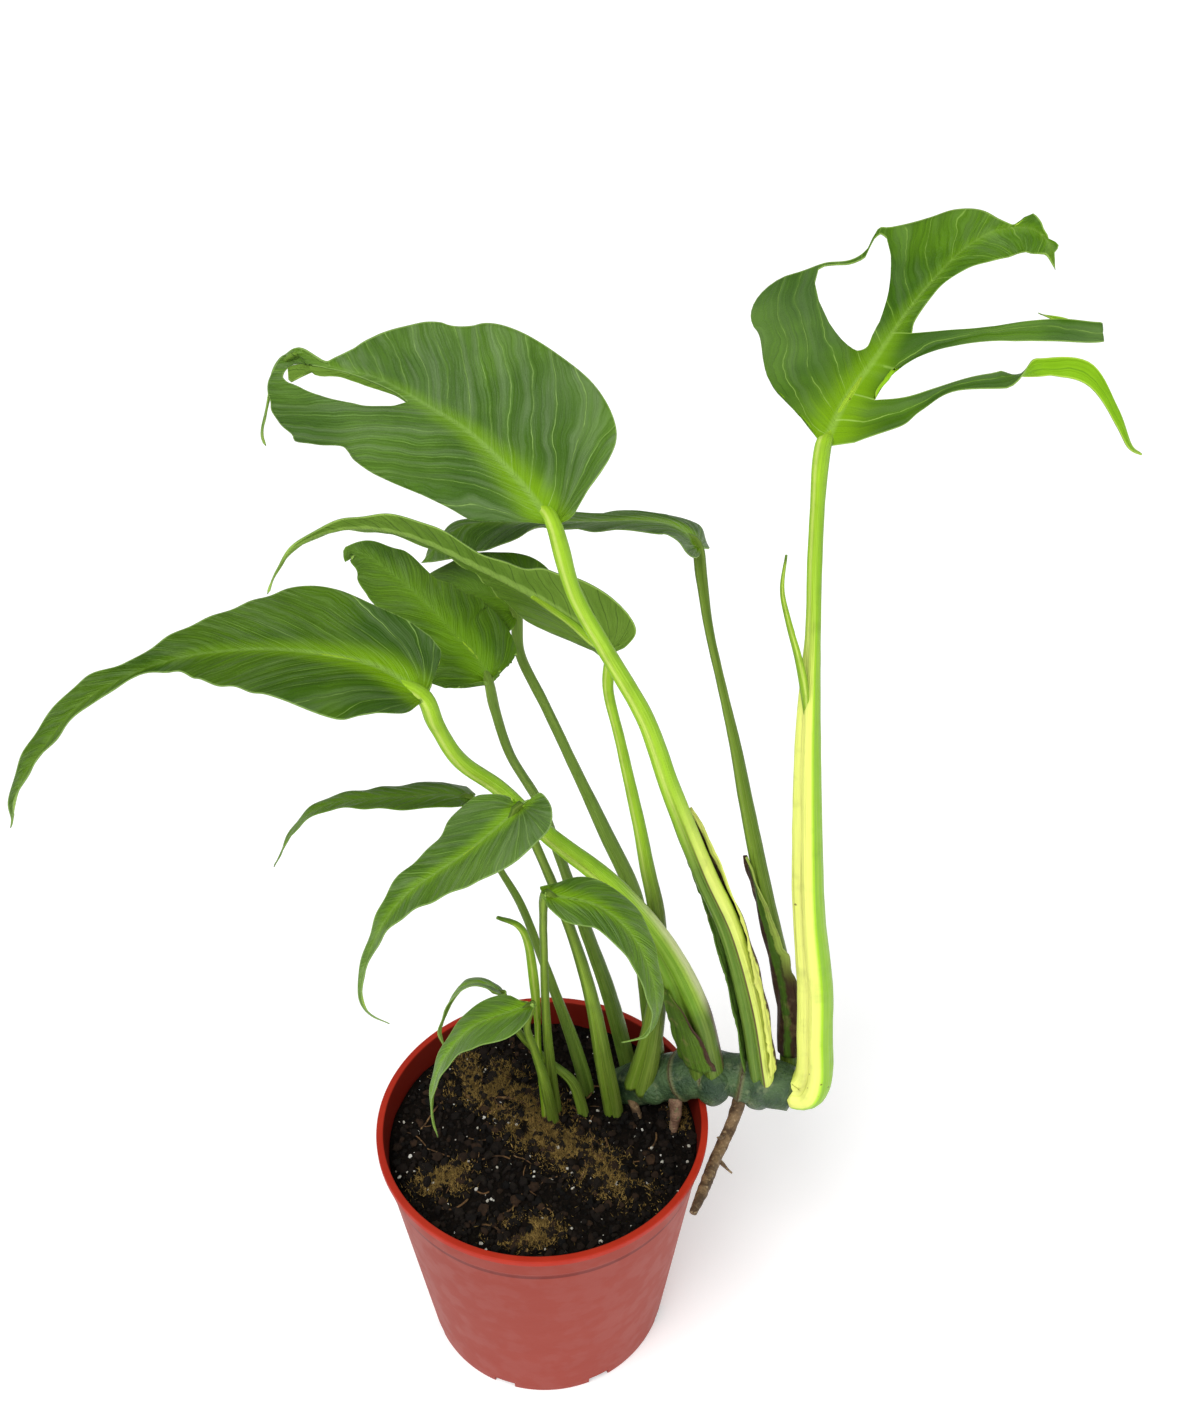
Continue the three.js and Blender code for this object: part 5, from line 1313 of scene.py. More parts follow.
def mottled(name, dark, light, third, size, rough, relief_metres=0.0004, specular=0.35):
    """Plain natural surface of three mixed colours; size is that of its blotches in mm."""
    shader = Shader(name, specular)
    place = shader.place()
    scale = 1000 / size
    colour = shader.mix(shader.noise(place, scale, 4), dark, light)
    colour = shader.tint(colour, third, shader.noise(place, scale * 2.7, 4, 0.55, 0.7))
    roughness = shader.patches(place, scale * 1.7, 2, *rough)
    return shader.done(colour, roughness, shader.noise(place, scale * 6, 3), relief_metres)


def pot_material():
    """Moulded plastic: dusty outside wall, brighter lip, and painted shade darkening the inside wall."""
    shader = Shader("pot_plastic", 0.22)
    place = shader.place()
    x, y, height = shader.parts(place)
    wall = shader.mix(shader.noise(place, 6, 1, 0.3, 0.7), rgb(144, 49, 34), rgb(148, 52, 37))
    dust = shader.noise(shader.join(0.0, 0.0, height), 60, 2)
    wall = shader.tint(wall, rgb(190, 110, 98), dust, 0.05)
    lip = shader.mix(shader.noise(place, 40, 3), rgb(168, 36, 16), rgb(178, 44, 22))
    skirt = (POT_HEIGHT - LIP_SKIRT) * MM
    colour = shader.mix(shader.ramp(height, skirt - 0.8 * MM, skirt + 0.8 * MM), wall, lip)
    # Painted shade: the inside wall from about the soil line up is darkened where the rim shades it
    inside = shader.ramp(shader.distance(x, y), *PAINTED_SHADE_RADII, 1.0, 0.0)
    above_soil = shader.ramp(height, *PAINTED_SHADE_HEIGHTS)
    colour = shader.tint(colour, rgb(112, 24, 12), inside, above_soil)
    return shader.done(colour, shader.patches(place, 90, 2, 0.5, 0.58), shader.noise(place, 260, 2), 0.00002)


def bit_material(name, dark, light, size):
    """Loose bits: each bit's own shade comes from the first value of its UV map."""
    shader = Shader(name, 0.2)
    own, _ = shader.uv("Own")
    place = shader.place()
    colour = shader.mix(own, dark, light)
    colour = shader.tint(colour, shader.mix(0.5, colour, dark), shader.noise(place, 1000 / size, 3))
    return shader.done(colour, shader.patches(place, 500, 2, 0.8, 0.9), shader.noise(place, 2500, 2), 0.0002)


# Leaves

LEAF_TOPS = {
    "leaf": leaf_top("leaf_top", rgb(62, 98, 20), rgb(88, 126, 36)),
    "rich": leaf_top("rich_leaf_top", rgb(50, 86, 4), rgb(78, 114, 16), sheen=0.18),
    "bright": leaf_top("bright_leaf_top", rgb(52, 92, 2), rgb(82, 124, 10), rgb(160, 196, 90), glow=0.8,
                       glow_width=2.6, sheen=0.16, rib=0.5),
    "dark": leaf_top("dark_leaf_top", rgb(60, 98, 4), rgb(88, 126, 16), rgb(116, 156, 46),
                     rgb(104, 148, 12), sheen=0.14),
    "young": leaf_top("young_leaf_top", rgb(72, 110, 18), rgb(100, 138, 42), glow=0.25, glow_width=0.7,
                      rib=0.26),
}
LEAF_UNDERS = {
    "leaf": leaf_under("leaf_underside", rgb(88, 122, 32), rgb(108, 142, 48)),
    "grey": leaf_under("grey_leaf_underside", rgb(104, 124, 74), rgb(124, 144, 94)),
    "bright": leaf_under("bright_leaf_underside", rgb(116, 166, 12), rgb(138, 188, 26), rgb(90, 136, 8),
                         rgb(180, 212, 80)),
    "dark": leaf_under("dark_leaf_underside", rgb(80, 112, 36), rgb(98, 132, 50)),
}

# For each leaf: its two sides, the width between its side veins in mm, how its margin waves, and how
# far its side veins lean to the tip on the left and on the right
LEAF_LOOKS = {
    "leaf_01": ("bright", "bright", 13, 0.5, (0.85, 1.2)),
    "leaf_02": ("leaf", "leaf", 12, 0.7, (1.9, 0.75)),
    "leaf_03": ("leaf", "leaf", 9, 0.6, (1.5, 1.5)),
    "leaf_04": ("leaf", "grey", 9, 0.6, (1.4, 1.4)),
    "leaf_05": ("dark", "dark", 9, 0.5, (1.3, 1.3)),
    "leaf_06": ("dark", "dark", 9, 0.6, (1.5, 1.2)),
    "leaf_07": ("rich", "leaf", 10, 0.7, (1.9, 1.9)),
    "leaf_08": ("dark", "dark", 8, 0.4, (1.4, 1.4)),
    "leaf_09": ("young", "bright", 8, 0.5, (1.4, 1.2)),
    "leaf_10": ("young", "leaf", 8, 0.3, (1.4, 1.4)),
    "leaf_11": ("young", "leaf", 8, 0.3, (1.4, 1.4)),
    "leaf_12": ("young", "leaf", 8, 0.3, (1.4, 1.4)),
}

# Colours round a petiole: (share of the way round from its groove, colour)
# Most are paler at the groove, partly painted highlight, and darker behind as painted shade
GREEN_ROUND = [(0.0, rgb(214, 238, 112)), (0.06, rgb(150, 198, 28)), (0.3, rgb(116, 166, 22)),
               (0.5, rgb(80, 122, 22)), (0.8, rgb(136, 186, 22)), (0.94, rgb(166, 210, 38)),
               (1.0, rgb(214, 238, 112))]
PALE_ROUND = [(0.0, rgb(112, 142, 40)), (0.12, rgb(88, 116, 26)), (0.5, rgb(60, 92, 20)),
              (0.8, rgb(84, 108, 26)), (0.93, rgb(90, 118, 30)), (1.0, rgb(112, 142, 40))]
CALM_ROUND = [(0.0, rgb(150, 184, 60)), (0.06, rgb(96, 130, 26)), (0.5, rgb(66, 100, 20)),
              (0.85, rgb(92, 124, 24)), (1.0, rgb(150, 184, 60))]
CREAM_ROUND = [(0.0, rgb(246, 248, 140)), (0.1, rgb(226, 238, 110)), (0.3, rgb(150, 190, 50)),
               (0.6, rgb(110, 160, 30)), (0.7, rgb(134, 182, 44)), (0.81, rgb(134, 182, 44)),
               (0.83, rgb(170, 222, 16)), (0.86, rgb(236, 244, 116)), (1.0, rgb(246, 248, 140))]
DRY_BROWN = rgb(74, 50, 36)
SHEATH_GREEN = rgb(84, 120, 34)
SHEATH_PALE = rgb(222, 230, 112)
SPLIT_ROUND = [(0.0, rgb(96, 132, 36)), (0.17, rgb(70, 104, 24)), (0.5, rgb(60, 92, 20)),
               (0.68, rgb(150, 186, 60)), (0.74, rgb(206, 226, 92)), (0.86, rgb(226, 236, 116)),
               (0.915, rgb(206, 222, 104)), (0.922, DRY_BROWN), (0.934, rgb(96, 70, 44)),
               (0.944, rgb(104, 140, 44)), (1.0, rgb(96, 132, 36))]
FLAP_ROUND = [(0.0, rgb(104, 148, 20)), (0.17, rgb(80, 118, 20)), (0.5, rgb(90, 130, 30)),
              (0.62, rgb(196, 206, 140)), (0.78, rgb(214, 222, 160)), (0.84, rgb(150, 184, 60)),
              (0.88, rgb(104, 148, 20)), (1.0, rgb(104, 148, 20))]
FOOT_ROUND = [(0.0, rgb(78, 108, 24)), (0.55, rgb(62, 92, 20)), (0.62, DRY_BROWN), (0.76, DRY_BROWN),
              (0.79, rgb(78, 108, 24)), (1.0, rgb(78, 108, 24))]
STALKS = {
    "leaf_01": stalk_material("cream_stalk", CREAM_ROUND, GREEN_ROUND, 0.68, specks=0.8),
    "leaf_02": stalk_material("leaf_02_stalk", SPLIT_ROUND, GREEN_ROUND, 0.5, specks=0.5),
    "leaf_03": stalk_material("leaf_03_stalk", PALE_ROUND, GREEN_ROUND, 0.5),
    "leaf_07": stalk_material("leaf_07_stalk", FLAP_ROUND, GREEN_ROUND, 0.38, foot=(0.16, FOOT_ROUND)),
}
PLAIN_STALK = stalk_material("green_stalk", PALE_ROUND, CALM_ROUND, 0.35)
# Also paler at the groove, partly painted highlight, and darker behind as painted shade
DEEP_STALK = stalk_material(
    "deep_stalk",
    [(0.0, rgb(116, 150, 54)), (0.5, rgb(64, 100, 30)), (1.0, rgb(116, 150, 54))],
    [(0.0, rgb(116, 150, 50)), (0.5, rgb(60, 94, 28)), (1.0, rgb(116, 150, 50))],
    0.35,
)
for deep_name in ("leaf_05", "leaf_06", "leaf_08"):
    STALKS[deep_name] = DEEP_STALK

# Dried sheaths across their width, low down and above: green and pale parts between brown margins
BROWN_FLAP = [(0.0, SHEATH_GREEN), (0.5, SHEATH_GREEN), (0.56, DRY_BROWN), (0.84, DRY_BROWN),
              (0.87, SHEATH_PALE), (1.0, SHEATH_PALE)]
SHEATH_LOOKS = {
    "leaf_02": (BROWN_FLAP, BROWN_FLAP),
    "leaf_04": ([(0.0, DRY_BROWN), (0.2, DRY_BROWN), (0.24, SHEATH_GREEN), (0.34, SHEATH_GREEN),
                 (0.38, DRY_BROWN), (1.0, DRY_BROWN)],
                [(0.0, rgb(190, 212, 100)), (0.15, rgb(180, 206, 90)), (0.18, SHEATH_GREEN),
                 (0.36, SHEATH_GREEN), (0.39, DRY_BROWN), (1.0, DRY_BROWN)]),
    "leaf_07": ([(0.0, DRY_BROWN), (0.06, DRY_BROWN), (0.11, rgb(88, 122, 26)), (1.0, rgb(80, 114, 24))],
                [(0.0, rgb(104, 148, 20)), (1.0, rgb(96, 136, 20))]),
}


def section_value(table, degrees):
    rows = np.array(table, float)
    return np.interp(np.mod(degrees, 360), rows[:, 0], rows[:, 1], period=360)


def petiole_shape(sheath, ratio):
    """Radius share round a petiole, which takes up the ratio of its rod: sheathed low down, then lightly
    grooved, and swollen at the joint."""
    def shape(share, degrees):
        share = share / ratio
        k = smooth_step(share, sheath - 0.05, sheath + 0.05)
        shaped = section_value(SHEATHED, degrees) * (1 - k) + section_value(GROOVED, degrees) * k
        return shaped * (1 + 0.12 * hump(share - 0.97, 0.03))
    return shape


def make_petiole(leaf, blade):
    """The petiole, which runs on as a taper under the blade's midrib."""
    path, radii = list(leaf["petiole"]), list(leaf["radii"])
    own = Spine(path, leaf["groove"], GROOVE_AT)
    for reach, taper in zip(TAPER_REACH, STALK_TAPER):
        point, _, normal, _ = blade.spine.frame_at(reach * blade.spine.length / TAPER_MIDRIB)
        radius = leaf["radii"][-1] * taper
        path.append(list(point[0] - normal[0] * (radius + TAPER_GAP)))
        radii.append(radius)
    whole = Spine(path, leaf["groove"], GROOVE_AT)
    shape = petiole_shape(leaf["sheath"], own.length / whole.length)
    name = leaf["name"]
    obj = make_rod(f"{name}_petiole_stalk", path, radii, STALKS.get(name, PLAIN_STALK), bumps=0.12,
                   bump_size=9, shape=shape, sides=28, groove=leaf["groove"],
                   groove_at=GROOVE_AT * own.length / whole.length)
    stand_for(obj, f"{name}_petiole")


def make_leaves():
    for leaf in LEAVES:
        top, under, spacing, wave, lean = LEAF_LOOKS[leaf["name"]]
        leaf.update(vein_spacing=spacing, wave=wave, lean=lean)
        blade = Blade(leaf)
        obj = blade.make([LEAF_TOPS[top], LEAF_UNDERS[under]])
        stand_for(obj, f"{leaf['name']}_blade")
        make_petiole(leaf, blade)


def rolled_shape(share, degrees):
    """A seam that winds round a rolled leaf."""
    turn = np.mod(degrees + 140 * share, 360)
    return 1 + 0.12 * hump(turn, 40) - 0.16 * hump(turn - 350, 9)


def make_rolled():
    # GREEN_ROUND holds painted highlight on the groove side and painted shade behind
    green = stalk_material("rolled_leaf", GREEN_ROUND, GREEN_ROUND, 0.5, joint=rgb(120, 160, 50))
    for name, rolled in ROLLED.items():
        obj = make_rod(f"{name}_leaf", rolled["path"], rolled["radii"], green, shape=rolled_shape, step=1.5)
        stand_for(obj, name)


# Dried sheaths

def make_dry_sheath(number, leaf, dry):
    spine = Spine(leaf["petiole"], leaf["groove"], GROOVE_AT)
    low, high = (share * spine.length for share in dry["shares"])
    s = np.linspace(low, high, int((high - low) / SHEATH_STEP) + 1)
    ragged = [noise.noise(Vector((v / 7, number * 9, 0))) + 0.6 * noise.noise(Vector((v / 2.3, 4, 0)))
              for v in s]
    half = table_value(dry["reach"], s / spine.length) * (1 + 0.1 * np.array(ragged))
    u = np.linspace(-1, 1, SHEATH_COLUMNS)

    def place(flat, marks):
        s, angle = flat.T
        point, _, normal, side = spine.frame_at(s)
        radius = spine.radius_at(leaf["radii"], s) * SHEATH_SWELL + SHEATH_GAP
        widest = np.maximum(table_value(dry["reach"], s / spine.length), 1)
        peel = SHEATH_PEEL * smooth_step(np.abs(angle - dry["facing"]) / widest, 0.75, 1.05)
        turn = np.radians(angle)
        reach = (radius + peel)[:, None]
        return point + normal * np.cos(turn)[:, None] * reach + side * np.sin(turn)[:, None] * reach

    def lift(flat, marks):
        return SHEATH_RIPPLE * np.sin(flat[:, 0] / 5 + 3 * np.sin(flat[:, 1] / 23))

    sheet = Sheet()
    sheet.add(stack_marks(s[:, None], dry["facing"] + half[:, None] * u),
              stack_marks((u + 1) / 2, (s / spine.length)[:, None]), False)
    points, triangles, marks, _ = sheet.build(place, lift, even(SHEATH_THICKNESS))
    name = f"{leaf['name']}_sheath"
    paper = dry_material(name, *SHEATH_LOOKS[leaf["name"]])
    stand_for(make_object(f"{name}_paper", points, triangles, [paper], {"Round": marks}), name)


def make_dry_sheaths():
    leaves = {leaf["name"]: leaf for leaf in LEAVES}
    for number, (name, dry) in enumerate(DRY_SHEATHS.items()):
        make_dry_sheath(number, leaves[name], dry)


# Stem and roots

def stem_material():
    shader = Shader("stem_bark", 0.4)
    _, along = shader.uv("Round")
    place = shader.place()
    colour = shader.mix(shader.noise(place, 70, 4), rgb(40, 64, 42), rgb(76, 102, 62))
    colour = shader.tint(colour, rgb(104, 120, 82), shader.noise(place, 170, 3, 0.55, 0.75))
    for share, width, _ in STEM_RINGS:
        away = shader.math("ABSOLUTE", shader.minus(along, share))
        beside = shader.ramp(away, width * 0.6, width * 2.2, 0.75, 0.0)
        colour = shader.tint(colour, rgb(110, 110, 70), beside)
        colour = shader.tint(colour, rgb(70, 50, 34), shader.ramp(away, 0.0, width * 0.8, 0.8, 0.0))
    return shader.done(colour, shader.patches(place, 100, 3, 0.4, 0.6), shader.noise(place, 600, 4), 0.0004)


def stem_shape(share, degrees):
    shape = 1 + 0.02 * np.sin(np.radians(degrees) * 3 + share * 9)
    for spot, width, height in STEM_RINGS:
        shape = shape + height * hump(share - spot, width)
    return shape


def make_stem():
    feet = [lump_points(*foot) for foot in STEM_FEET]
    obj = make_rod("stem_wood", STEM["path"], STEM["radii"], stem_material(), bumps=0.35,
                   bump_size=6, more=feet, shape=stem_shape, sides=64, step=0.6, groove=(0, 0, 1))
    stand_for(obj, "stem")


def make_roots():
    brown = mottled("root_bark", rgb(78, 58, 38), rgb(134, 108, 76), rgb(160, 136, 100), 5, (0.6, 0.8))
    pinkish = mottled("pink_root_bark", rgb(110, 80, 62), rgb(150, 118, 94), rgb(120, 128, 84), 6,
                      (0.55, 0.75))
    materials = [pinkish, brown, brown]
    rootlets = [rod_points(path, ROOTLET_RADII, sides=8, step=1.2)[:3] for path in ROOTLETS]
    for number, (root, material) in enumerate(zip(AERIAL_ROOTS, materials), start=1):
        more = rootlets if number == len(AERIAL_ROOTS) else []
        obj = make_rod(f"aerial_root_{number}_bark", root["path"], root["radii"], material, bumps=0.35,
                       bump_size=3, more=more, sides=28, step=0.7)
        stand_for(obj, f"aerial_root_{number}")


# Pot

def pot_radius(z):
    return POT_BASE_RADIUS + (POT_SHOULDER_RADIUS - POT_BASE_RADIUS) * z / POT_SHOULDER_HEIGHT


def rounded(corner, before, after, radius):
    """Points of a rounded corner of a profile."""
    corner, before, after = (np.array(p, float) for p in (corner, before, after))
    start = corner + (before - corner) * radius / np.linalg.norm(before - corner)
    end = corner + (after - corner) * radius / np.linalg.norm(after - corner)
    t = np.linspace(0, 1, CORNER_STEPS)[:, None]
    return list((1 - t) ** 2 * start + 2 * t * (1 - t) * corner + t * t * end)


def revolve(name, profile, sides, material):
    """A closed solid of revolution from a profile of [radius, height] that starts and ends on the axis."""
    inner = profile[1:-1]
    turn = np.linspace(0, 2 * np.pi, sides, endpoint=False)
    ring = np.stack([np.cos(turn), np.sin(turn)], axis=1)
    points = [np.concatenate([ring * r, np.full((sides, 1), z)], axis=1) for r, z in inner]
    points.append([[0, 0, profile[0][1]], [0, 0, profile[-1][1]]])
    j = np.arange(sides)
    k = (j + 1) % sides
    last = (len(inner) - 1) * sides
    low = np.full(sides, last + sides)
    triangles = []
    for a in range(0, last, sides):
        b = a + sides
        triangles += [(a + j, a + k, b + k), (a + j, b + k, b + j)]
    triangles += [(low, k, j), (low + 1, last + j, last + k)]
    faces = np.concatenate([np.stack(corners, axis=1) for corners in triangles])
    return make_object(name, np.concatenate(points), faces, [material])


def pot_profile():
    skirt = POT_HEIGHT - LIP_SKIRT
    corners = [
        ((0, 0), 0),
        ((POT_BASE_RADIUS, 0), BASE_ROUND),
        ((pot_radius(DRAIN_HEIGHT + 1), DRAIN_HEIGHT + 1), 0.2),
        ((POT_SHOULDER_RADIUS, POT_SHOULDER_HEIGHT), EDGE_ROUND),
        ((POT_SHOULDER_RADIUS + POT_STEP, POT_SHOULDER_HEIGHT + POT_STEP), EDGE_ROUND),
        ((POT_SHOULDER_RADIUS + 2 * POT_STEP, skirt), 0.3),
        ((POT_RIM_RADIUS, skirt), 0.25),
        ((POT_RIM_RADIUS, POT_HEIGHT), LIP_ROUND),
        ((POT_RIM_RADIUS - LIP_WIDTH, POT_HEIGHT), LIP_ROUND),
        ((POT_SHOULDER_RADIUS - POT_WALL, POT_SHOULDER_HEIGHT), EDGE_ROUND),
        ((pot_radius(POT_FLOOR) - POT_WALL, POT_FLOOR), 1),
        ((0, POT_FLOOR), 0),
    ]
    profile = [corners[0][0]]
    for (before, _), (corner, radius), (after, _) in zip(corners, corners[1:], corners[2:]):
        profile += rounded(corner, before, after, radius)
    return profile + [corners[-1][0]]


def make_pot():
    """The pot's shell, with the drain notches cut out of its base."""
    pot = revolve("pot_shell", pot_profile(), POT_SIDES, pot_material())
    drains = bmesh.new()
    out = Matrix.Translation((POT_BASE_RADIUS * MM, 0, 0))
    size = Matrix.Diagonal((2 * DRAIN_DEPTH * MM, DRAIN_WIDTH * MM, 2 * DRAIN_HEIGHT * MM, 1))
    for i in range(DRAIN_COUNT):
        turn = Matrix.Rotation((i + 0.5) * 2 * math.pi / DRAIN_COUNT, 4, "Z")
        bmesh.ops.create_cube(drains, size=1, matrix=turn @ out @ size)
    cutter_mesh = bpy.data.meshes.new("drains")
    drains.to_mesh(cutter_mesh)
    drains.free()
    cutter = add_object("drains", cutter_mesh)
    cut = pot.modifiers.new("drains", "BOOLEAN")
    cut.operation = "DIFFERENCE"
    cut.solver = "EXACT"
    cut.object = cutter
    shown = pot.evaluated_get(bpy.context.evaluated_depsgraph_get())
    cut_mesh = bpy.data.meshes.new_from_object(shown)
    cut_mesh.set_sharp_from_angle(angle=math.radians(SHARP_ANGLE))
    pot.modifiers.clear()
    pot.data = cut_mesh
    bpy.data.objects.remove(cutter)
    stand_for(pot, "pot")


# Soil and what lies on it

def soil_height(x, y):
    away = np.hypot(x - MOUND_CENTRE[0], y - MOUND_CENTRE[1]) / MOUND_REACH
    ripple = SOIL_RIPPLE * np.sin(x / 7 + 1) * np.cos(y / 9 - 0.5)
    return SOIL_EDGE_HEIGHT + SOIL_MOUND * np.exp(-away * away) + ripple


def soil_top(x, y):
    flat = np.stack([x, y, np.zeros_like(x)], axis=1)
    rough = smooth_noise(flat, 7, 1) * 0.8 + smooth_noise(flat, 2.4, 2) * 0.5
    return soil_height(x, y) + SOIL_ROUGHNESS * rough


def make_soil():
    low, shoulder = POT_FLOOR + SOIL_GAP, SOIL_EDGE_HEIGHT - 3
    profile = [(0, low), (pot_radius(low) - POT_WALL - 2 * SOIL_GAP, low),
               (pot_radius(shoulder) - POT_WALL - SOIL_GAP, shoulder)]
    edge = pot_radius(SOIL_EDGE_HEIGHT) - POT_WALL - SOIL_GAP
    profile += [(r, SOIL_EDGE_HEIGHT) for r in np.linspace(edge, 0, SOIL_RINGS)]
    dark = mottled("potting_soil", rgb(12, 9, 7), rgb(26, 19, 14), rgb(40, 30, 22), 3, (0.85, 0.98), 0.0006,
                   specular=0.1)
    soil = revolve("soil_bed", profile, SOIL_SIDES, dark)
    spots = np.empty(len(soil.data.vertices) * 3, np.float32)
    soil.data.vertices.foreach_get("co", spots)
    spots = spots.reshape(-1, 3).astype(float) / MM
    top = spots[:, 2] > SOIL_EDGE_HEIGHT - 1
    spots[top, 2] = soil_top(spots[top, 0], spots[top, 1])
    soil.data.vertices.foreach_set("co", (spots * MM).astype(np.float32).ravel())
    soil.data.update()
    stand_for(soil, "soil")


def random_turns(random, count):
    """Random rotation matrices."""
    w, x, y, z = unit(random.normal(size=(count, 4))).T
    return np.stack([
        np.stack([1 - 2 * (y * y + z * z), 2 * (x * y - z * w), 2 * (x * z + y * w)], axis=1),
        np.stack([2 * (x * y + z * w), 1 - 2 * (x * x + z * z), 2 * (y * z - x * w)], axis=1),
        np.stack([2 * (x * z - y * w), 2 * (y * z + x * w), 1 - 2 * (x * x + y * y)], axis=1),
    ], axis=1)


def ball(subdivisions):
    shape = bmesh.new()
    bmesh.ops.create_icosphere(shape, subdivisions=subdivisions, radius=1)
    points = np.array([v.co[:] for v in shape.verts])
    triangles = np.array([[v.index for v in f.verts] for f in shape.faces])
    shape.free()
    return points, triangles


def repeated(triangles, count, step):
    """The triangles of a shape of step points, for so many of them."""
    return (np.asarray(triangles)[None] + np.arange(count)[:, None, None] * step).reshape(-1, 3)


def scatter_spots(random, count, reach):
    radius = reach * np.sqrt(random.uniform(0, 1, count))
    turn = random.uniform(0, 2 * np.pi, count)
    return radius * np.cos(turn), radius * np.sin(turn)


def make_bits(name, random, x, y, sizes, flatness, material, subdivisions=1, rise=0.3):
    """Loose lumps lying on the soil, joined in one mesh."""
    points, triangles = ball(subdivisions)
    count = len(x)
    lumps = points[None] * random.uniform(0.72, 1.28, (count, len(points), 1))
    lumps = lumps * (sizes[:, None] * random.uniform(0.6, 1.3, (count, 3)) / 2)[:, None, :]
    lumps = np.einsum("nij,nvj->nvi", random_turns(random, count), lumps)
    lumps[:, :, 2] *= flatness
    heights = soil_top(x, y) + sizes * rise * flatness
    lumps += np.stack([x, y, heights], axis=1)[:, None]
    faces = repeated(triangles, count, len(points))
    own = np.repeat(random.uniform(0, 1, count), len(triangles) * 3)
    uv = np.stack([own, np.zeros_like(own)], axis=1)
    obj = make_object(name, lumps.reshape(-1, 3), faces, [material], {"Own": uv})
    obj.data.polygons.foreach_set("use_smooth", np.zeros(len(faces), bool))
    stand_for(obj, None)


def make_moss(random):
    """A mat of short leaning blades, each with three sides."""
    green = bit_material("moss", rgb(70, 52, 22), rgb(226, 188, 108), 3.0)
    spots = []
    for (x, y), (long, wide), turn, share in MOSS_PATCHES:
        u, v = random.normal(0, 0.5, (2, int(MOSS_COUNT * share)))
        c, s = math.cos(math.radians(turn)), math.sin(math.radians(turn))
        spots.append(np.stack([x + c * u * long - s * v * wide, y + s * u * long + c * v * wide], axis=1))
    spots = np.concatenate(spots)
    spots = spots[np.hypot(spots[:, 0], spots[:, 1]) < LITTER_REACH]
    clumps = smooth_noise(np.concatenate([spots, np.zeros((len(spots), 1))], axis=1), MOSS_CLUMPS, 5)
    spots = spots[clumps > MOSS_BARE]
    count = len(spots)
    lean = random.normal(0, MOSS_LEAN, (count, 2))
    ahead = unit(np.concatenate([lean, np.full((count, 1), 1.0)], axis=1))
    length = random.uniform(*MOSS_LENGTH, count)
    width = random.uniform(*MOSS_WIDTH, count)
    root = np.concatenate([spots, soil_top(spots[:, 0], spots[:, 1])[:, None] - 0.5], axis=1)
    tip = root + ahead * length[:, None]
    tip[:, 2] -= MOSS_SAG * length * np.hypot(lean[:, 0], lean[:, 1])
    sides = unit(np.cross(ahead, np.array([0.3, 0.5, 0.8])))
    others = np.cross(ahead, sides)
    corners = [root + (sides * math.cos(a) + others * math.sin(a)) * width[:, None] for a in (0, 2.09, 4.19)]
    faces = repeated([[0, 1, 3], [1, 2, 3], [2, 0, 3], [0, 2, 1]], count, 4)
    own = np.repeat(random.uniform(0, 1, count), 12)
    obj = make_object("moss", np.stack(corners + [tip], axis=1).reshape(-1, 3), faces, [green],
                      {"Own": np.stack([own, own], axis=1)})
    stand_for(obj, None)


def make_fibres(random):
    brown = mottled("fibre", rgb(70, 48, 28), rgb(126, 92, 56), rgb(160, 128, 84), 4, (0.75, 0.9))
    fibres = []
    for x, y in zip(*scatter_spots(random, FIBRE_COUNT, FIBRE_REACH)):
        turn = random.uniform(0, 2 * math.pi)
        bend = random.uniform(-0.9, 0.9)
        length = random.uniform(6, 20)
        radius = random.uniform(0.2, 0.5)
        t = np.linspace(-0.5, 0.5, 5)
        px = x + np.cos(turn + bend * t) * t * length
        py = y + np.sin(turn + bend * t) * t * length
        pz = soil_top(px, py) + 0.5 + random.uniform(-0.3, 0.5, 5)
        path = np.stack([px, py, pz], axis=1).tolist()
        points, triangles, uv, reach = rod_points(path, [radius] * 5, sides=6, groove=(0, 0, 1))
        fibres.append((points, triangles, uv / np.array([1, reach])))
    points, triangles, uv = joined(fibres)
    stand_for(make_object("fibres", points, triangles, [brown], {"Round": uv}), None)


def make_ground():
    random = np.random.default_rng(7)
    black = bit_material("crumb", rgb(9, 7, 6), rgb(36, 27, 20), 2.0)
    bark = bit_material("bark_bit", rgb(24, 16, 11), rgb(64, 45, 30), 3.0)
    white = bit_material("perlite_grain", rgb(196, 190, 176), rgb(244, 242, 234), 1.5)
    x, y = scatter_spots(random, CRUMB_COUNT, LITTER_REACH)
    make_bits("crumbs", random, x, y, random.gamma(3, 0.55, CRUMB_COUNT) + 0.5, 0.8, black)
    x, y = scatter_spots(random, BARK_COUNT, LITTER_REACH)
    make_bits("bark_bits", random, x, y, random.uniform(2, 5.5, BARK_COUNT), 0.55, bark, 2)
    x, y = scatter_spots(random, PERLITE_COUNT, LITTER_REACH)
    sizes = 0.5 + 1.6 * random.uniform(0, 1, PERLITE_COUNT) ** 2
    make_bits("perlite", random, x, y, sizes, 0.85, white, 2, 0.4)
    make_moss(random)
    make_fibres(random)


# Stage, light and camera

def aim(lamp, place, target):
    lamp.location = Vector(place)
    lamp.rotation_euler = (Vector(target) - Vector(place)).to_track_quat("-Z", "Y").to_euler()


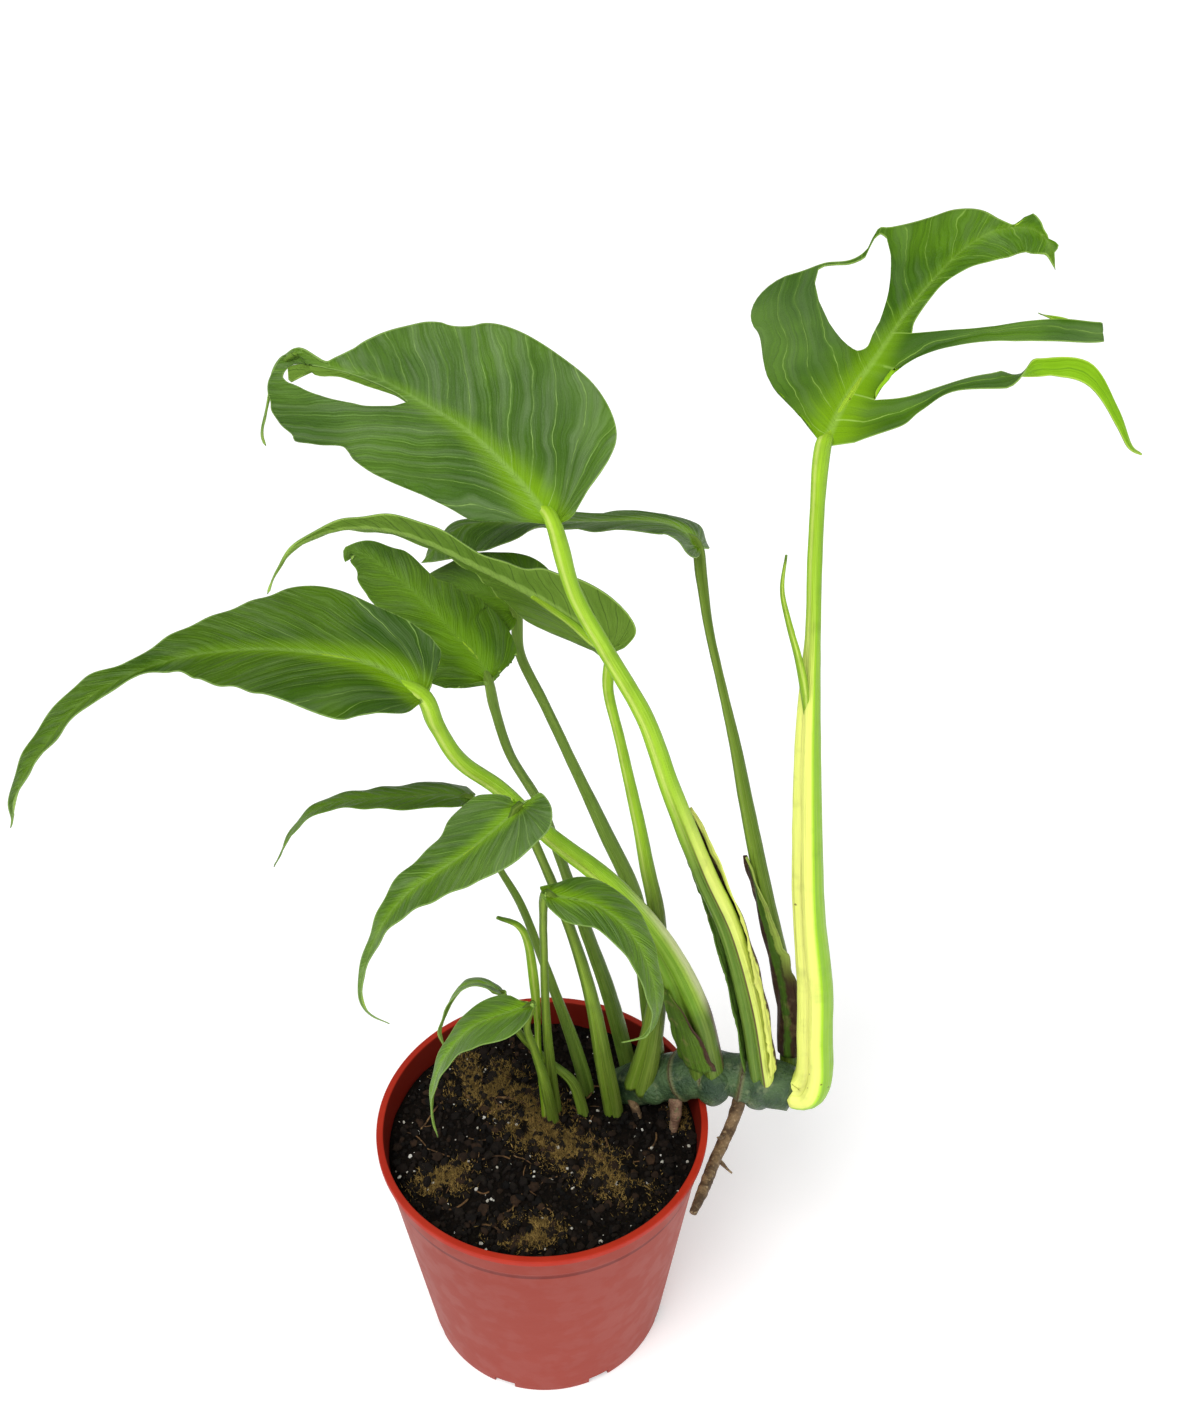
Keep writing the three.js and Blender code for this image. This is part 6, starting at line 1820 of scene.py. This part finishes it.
def make_stage():
    half = FLOOR_HALF_METRES
    mesh = bpy.data.meshes.new("floor")
    mesh.from_pydata([(-half, -half, 0), (half, -half, 0), (half, half, 0), (-half, half, 0)], [],
                     [(0, 1, 2, 3)])
    floor = add_object("floor", mesh)
    shader = Shader("floor_paint", 0.0)
    shader.put(shader.bsdf.inputs["Emission Color"], WHITE)
    shader.put(shader.bsdf.inputs["Emission Strength"], FLOOR_GLOW)
    colour = shader.mix(shader.noise(shader.place(), 3, 2), rgb(240, 240, 240), rgb(243, 243, 243))
    mesh.materials.append(shader.done(colour, 0.9))


def make_light():
    world = bpy.data.worlds.new("soft_room")
    world.use_nodes = True
    background = world.node_tree.nodes["Background"]
    background.inputs[0].default_value = WHITE
    background.inputs[1].default_value = ROOM_LIGHT
    bpy.context.scene.world = world
    key = bpy.data.lights.new("key", "SUN")
    key.energy = KEY_LIGHT
    key.angle = math.radians(KEY_WIDTH)
    aim(add_object("key", key), KEY_PLACE, (0, 0, 0))
    fill = bpy.data.lights.new("fill", "AREA")
    fill.shape = "RECTANGLE"
    fill.size, fill.size_y = FILL_SIZE
    fill.energy = FILL_LIGHT
    aim(add_object("fill", fill), FILL_PLACE, FILL_TARGET)
    bpy.context.scene.view_settings.view_transform = "Standard"


def make_camera():
    data = bpy.data.cameras.new("camera")
    data.sensor_width = SENSOR
    data.lens = CAMERA_FOCAL_PIXELS * SENSOR / IMAGE_HEIGHT
    camera = add_object("camera", data)
    yaw, pitch = math.radians(CAMERA_YAW), math.radians(CAMERA_PITCH)
    ahead = Vector((math.sin(yaw) * math.cos(pitch), math.cos(yaw) * math.cos(pitch), -math.sin(pitch)))
    right = Vector((math.cos(yaw), -math.sin(yaw), 0))
    turn = Matrix((right, right.cross(ahead), -ahead)).transposed()
    camera.matrix_world = Matrix.Translation(Vector(CAMERA_PLACE) * MM) @ turn.to_4x4()
    bpy.context.scene.camera = camera


make_leaves()
make_rolled()
make_dry_sheaths()
make_stem()
make_roots()
make_pot()
make_soil()
make_ground()
make_stage()
make_light()
make_camera()
